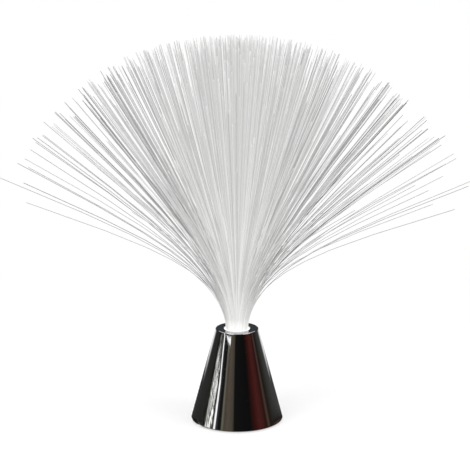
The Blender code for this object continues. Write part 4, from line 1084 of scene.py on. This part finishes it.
def painted_reflection_sheet():
    """The table round the lamp and an upright ring, as one sheet for the painted reflections."""
    bm = bmesh.new()
    profile = [(CARD_GAP, CARD_FLOOR), (CARD_RING_RADIUS, CARD_FLOOR), (CARD_RING_RADIUS, CARD_HEIGHT)]
    corners = [bm.verts.new((radius, 0, height)) for radius, height in profile]
    edges = [bm.edges.new(pair) for pair in zip(corners, corners[1:])]
    bmesh.ops.spin(bm, geom=corners + edges, cent=ORIGIN, axis=UP, angle=math.tau, steps=96, use_merge=True)
    return mesh_from("painted_reflection_cards", bm)


def painted_highlight_mask(tree, around, height):
    """1 on the small pale card that narrows to the left, a painted highlight."""
    right, left = WEDGE_ENDS
    over = maths(tree, "SUBTRACT", height, stretched(tree, around, right, left, *WEDGE_LOWER_EDGE))
    under = maths(tree, "SUBTRACT", stretched(tree, around, right, left, *WEDGE_UPPER_EDGE), height)
    return product(
        tree, stretched(tree, over, 0, WEDGE_SOFTNESS), stretched(tree, under, 0, WEDGE_SOFTNESS),
        stretched(tree, around, right + SOFT_ANGLE, right), stretched(tree, around, left - SOFT_ANGLE, left),
    )


def painted_reflection_colours(tree, place, around, height):
    """The colours of the painted reflections, and a mask of the streaked one."""
    lean = product(
        tree, stretched(tree, height, *LEAN_HEIGHTS, 0.0, CARD_LEAN),
        stretched(tree, around, *LEAN_LEFT_EDGE), stretched(tree, around, *LEAN_RIGHT_EDGE),
    )
    angle = maths(tree, "SUBTRACT", around, lean)
    bands = [((degrees + 180) / 360, colour) for degrees, colour in PAINTED_REFLECTION_BANDS]
    colour = ramped(tree, stretched(tree, angle, -180, 180), bands)
    turned_away = maths(tree, "ABSOLUTE", angle)
    distance = node(tree, "ShaderNodeVectorMath", {0: place}, operation="LENGTH").outputs["Value"]
    pale = product(
        tree, stretched(tree, turned_away, *PALE_CARD_SIDES), stretched(tree, distance, *PALE_CARD_EDGE),
        stretched(tree, height, *PALE_CARD_HEIGHT),
    )
    colour = blended(tree, pale, colour, grey(0.6))
    colour = blended(tree, painted_highlight_mask(tree, around, height), colour, grey(1.0))
    behind = product(
        tree, stretched(tree, turned_away, *REAR_CARD_SIDES), stretched(tree, height, *REAR_CARD_FOOT)
    )
    colour = blended(tree, behind, colour, (0.029, 0.032, 0.034))
    edges = (STREAKED_RIGHT_EDGE, STREAKED_LEFT_EDGE)
    return colour, product(tree, *[stretched(tree, angle, *edge) for edge in edges])


def make_painted_reflections():
    """Painted reflections: dark and light sheets round the lamp, on the table and upright, which only
    polished surfaces see.
    """
    painted_reflection_cards = placed("painted_reflection_cards", painted_reflection_sheet())
    for rays in ("camera", "diffuse", "transmission", "shadow"):
        setattr(painted_reflection_cards, f"visible_{rays}", False)
    made, tree, _ = new_material("painted_reflection_cards")
    place = object_place(tree)
    split = node(tree, "ShaderNodeSeparateXYZ", {0: place})
    height = split.outputs["Z"]
    around = maths(tree, "ARCTAN2", split.outputs["X"], maths(tree, "MULTIPLY", split.outputs["Y"], -1.0))
    around = maths(tree, "DEGREES", around)
    colour, streaked = painted_reflection_colours(tree, place, around, height)
    fine = node(tree, "ShaderNodeMapping", {"Vector": place, "Scale": (1.0, 1.0, 7.0)})
    streaks = noise(tree, fine.outputs["Vector"], 28, 5, 0.6)
    broken = product(
        tree, stretched(tree, streaks, 0.50, 0.545, 0.03, 1.6),
        stretched(tree, height, *STREAKED_TOP, 0.12, 1.0),
    )
    even = stretched(tree, streaks, 0.3, 0.7, 0.85, 1.15)
    shade = node(tree, "ShaderNodeMix", {0: streaked, 2: even, 3: broken}).outputs[0]
    # painted reflection: the strength undoes the plating's tone, so that the plating shows the set colours
    strength = maths(tree, "MULTIPLY", shade, 1 / PLATING_TONE)
    shine = node(tree, "ShaderNodeEmission", {"Color": colour, "Strength": strength})
    feed(tree, tree.nodes["Material Output"], Surface=shine.outputs[0])
    painted_reflection_cards.data.materials.append(made)


def make_lights():
    for name, place, size, power in LIGHTS:
        light = bpy.data.lights.new(name, "AREA")
        light.size = size
        light.energy = power
        made = placed(name, light)
        made.location = place
        made.rotation_euler = (Vector(place) - LIT_PLACE).to_track_quat("Z", "Y").to_euler()


def make_camera():
    lens = bpy.data.cameras.new("camera")
    lens.sensor_width = SENSOR_WIDTH
    lens.lens = SENSOR_WIDTH * CAMERA_DISTANCE / VIEW_WIDTH
    camera = placed("camera", lens)
    towards = Vector((0, -math.cos(CAMERA_TILT), math.sin(CAMERA_TILT)))
    camera.location = CAMERA_AIM + towards * CAMERA_DISTANCE
    camera.rotation_euler = towards.to_track_quat("Z", "Y").to_euler()
    bpy.context.scene.camera = camera


def main():
    scene = bpy.context.scene
    scene.view_settings.view_transform = "Standard"
    scene.world = bpy.data.worlds.new("studio")
    white_backdrop(scene.world)
    make_camera()
    make_floor()
    make_painted_reflections()
    make_lights()

    black = moulded(
        "black_plastic", (0.020, 0.020, 0.022), (0.028, 0.028, 0.030), 0.42, 0.56, 0.00003, dust=0.35
    )
    white = moulded("white_plastic", (0.80, 0.80, 0.79), (0.86, 0.86, 0.85), 0.28, 0.42, 0.00001, dust=0.1)
    rubber = moulded("foot_rubber", grey(0.030), (0.045, 0.044, 0.043), 0.75, 0.90, 0.00006, 1800, dust=0.6)
    red = moulded("red_insulation", (0.52, 0.03, 0.025), (0.62, 0.045, 0.03), 0.30, 0.45, 0.000008)
    dark = moulded("black_insulation", grey(0.018), grey(0.026), 0.30, 0.45, 0.000008)
    zinc = drawn_metal("zinc_screw", (0.58, 0.58, 0.57), (0.68, 0.67, 0.64), 0.26, 0.000006)
    nickel = drawn_metal("nickel_strip", (0.66, 0.65, 0.62), (0.74, 0.73, 0.70), 0.20, 0.000008)
    tinned = drawn_metal("tinned_steel", (0.60, 0.60, 0.59), (0.68, 0.68, 0.66), 0.30, 0.000008)
    diode_low, diode_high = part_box("rgb_led")
    lens = milky_plastic("glowing_lens", diode_low.z, diode_high.z, 0.5, 1.2)
    # painted light: the collar glows at its top rim, though it is no lamp
    milky = milky_plastic("milky_plastic", FERRULE_HIGH.z - PAINTED_LIGHT_RIM, FERRULE_HIGH.z, 0.0, 0.5)

    make_shell(dark_chrome())
    make_feet(rubber)
    make_screws(zinc)
    make_knob(white)
    make_lettering(white)
    make_cells(cell_jacket())
    make_springs(nickel)
    make_wires(red, dark)
    make_diode(lens)
    make_ferrule(milky)
    make_glue(bundle_ends())
    make_fibres(fibre_plastic())

    for name, finish in (
        ("base_plate", black), ("battery_door", black), ("socket_tube", black), ("contact_plus", nickel),
        ("contact_minus", nickel), ("contact_bridge_front", nickel), ("contact_bridge_rear", nickel),
        ("switch_body", tinned), ("led_board", circuit_board()), ("led_reflector", white),
    ):
        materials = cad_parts[name].data.materials
        materials.clear()
        materials.append(finish)


main()
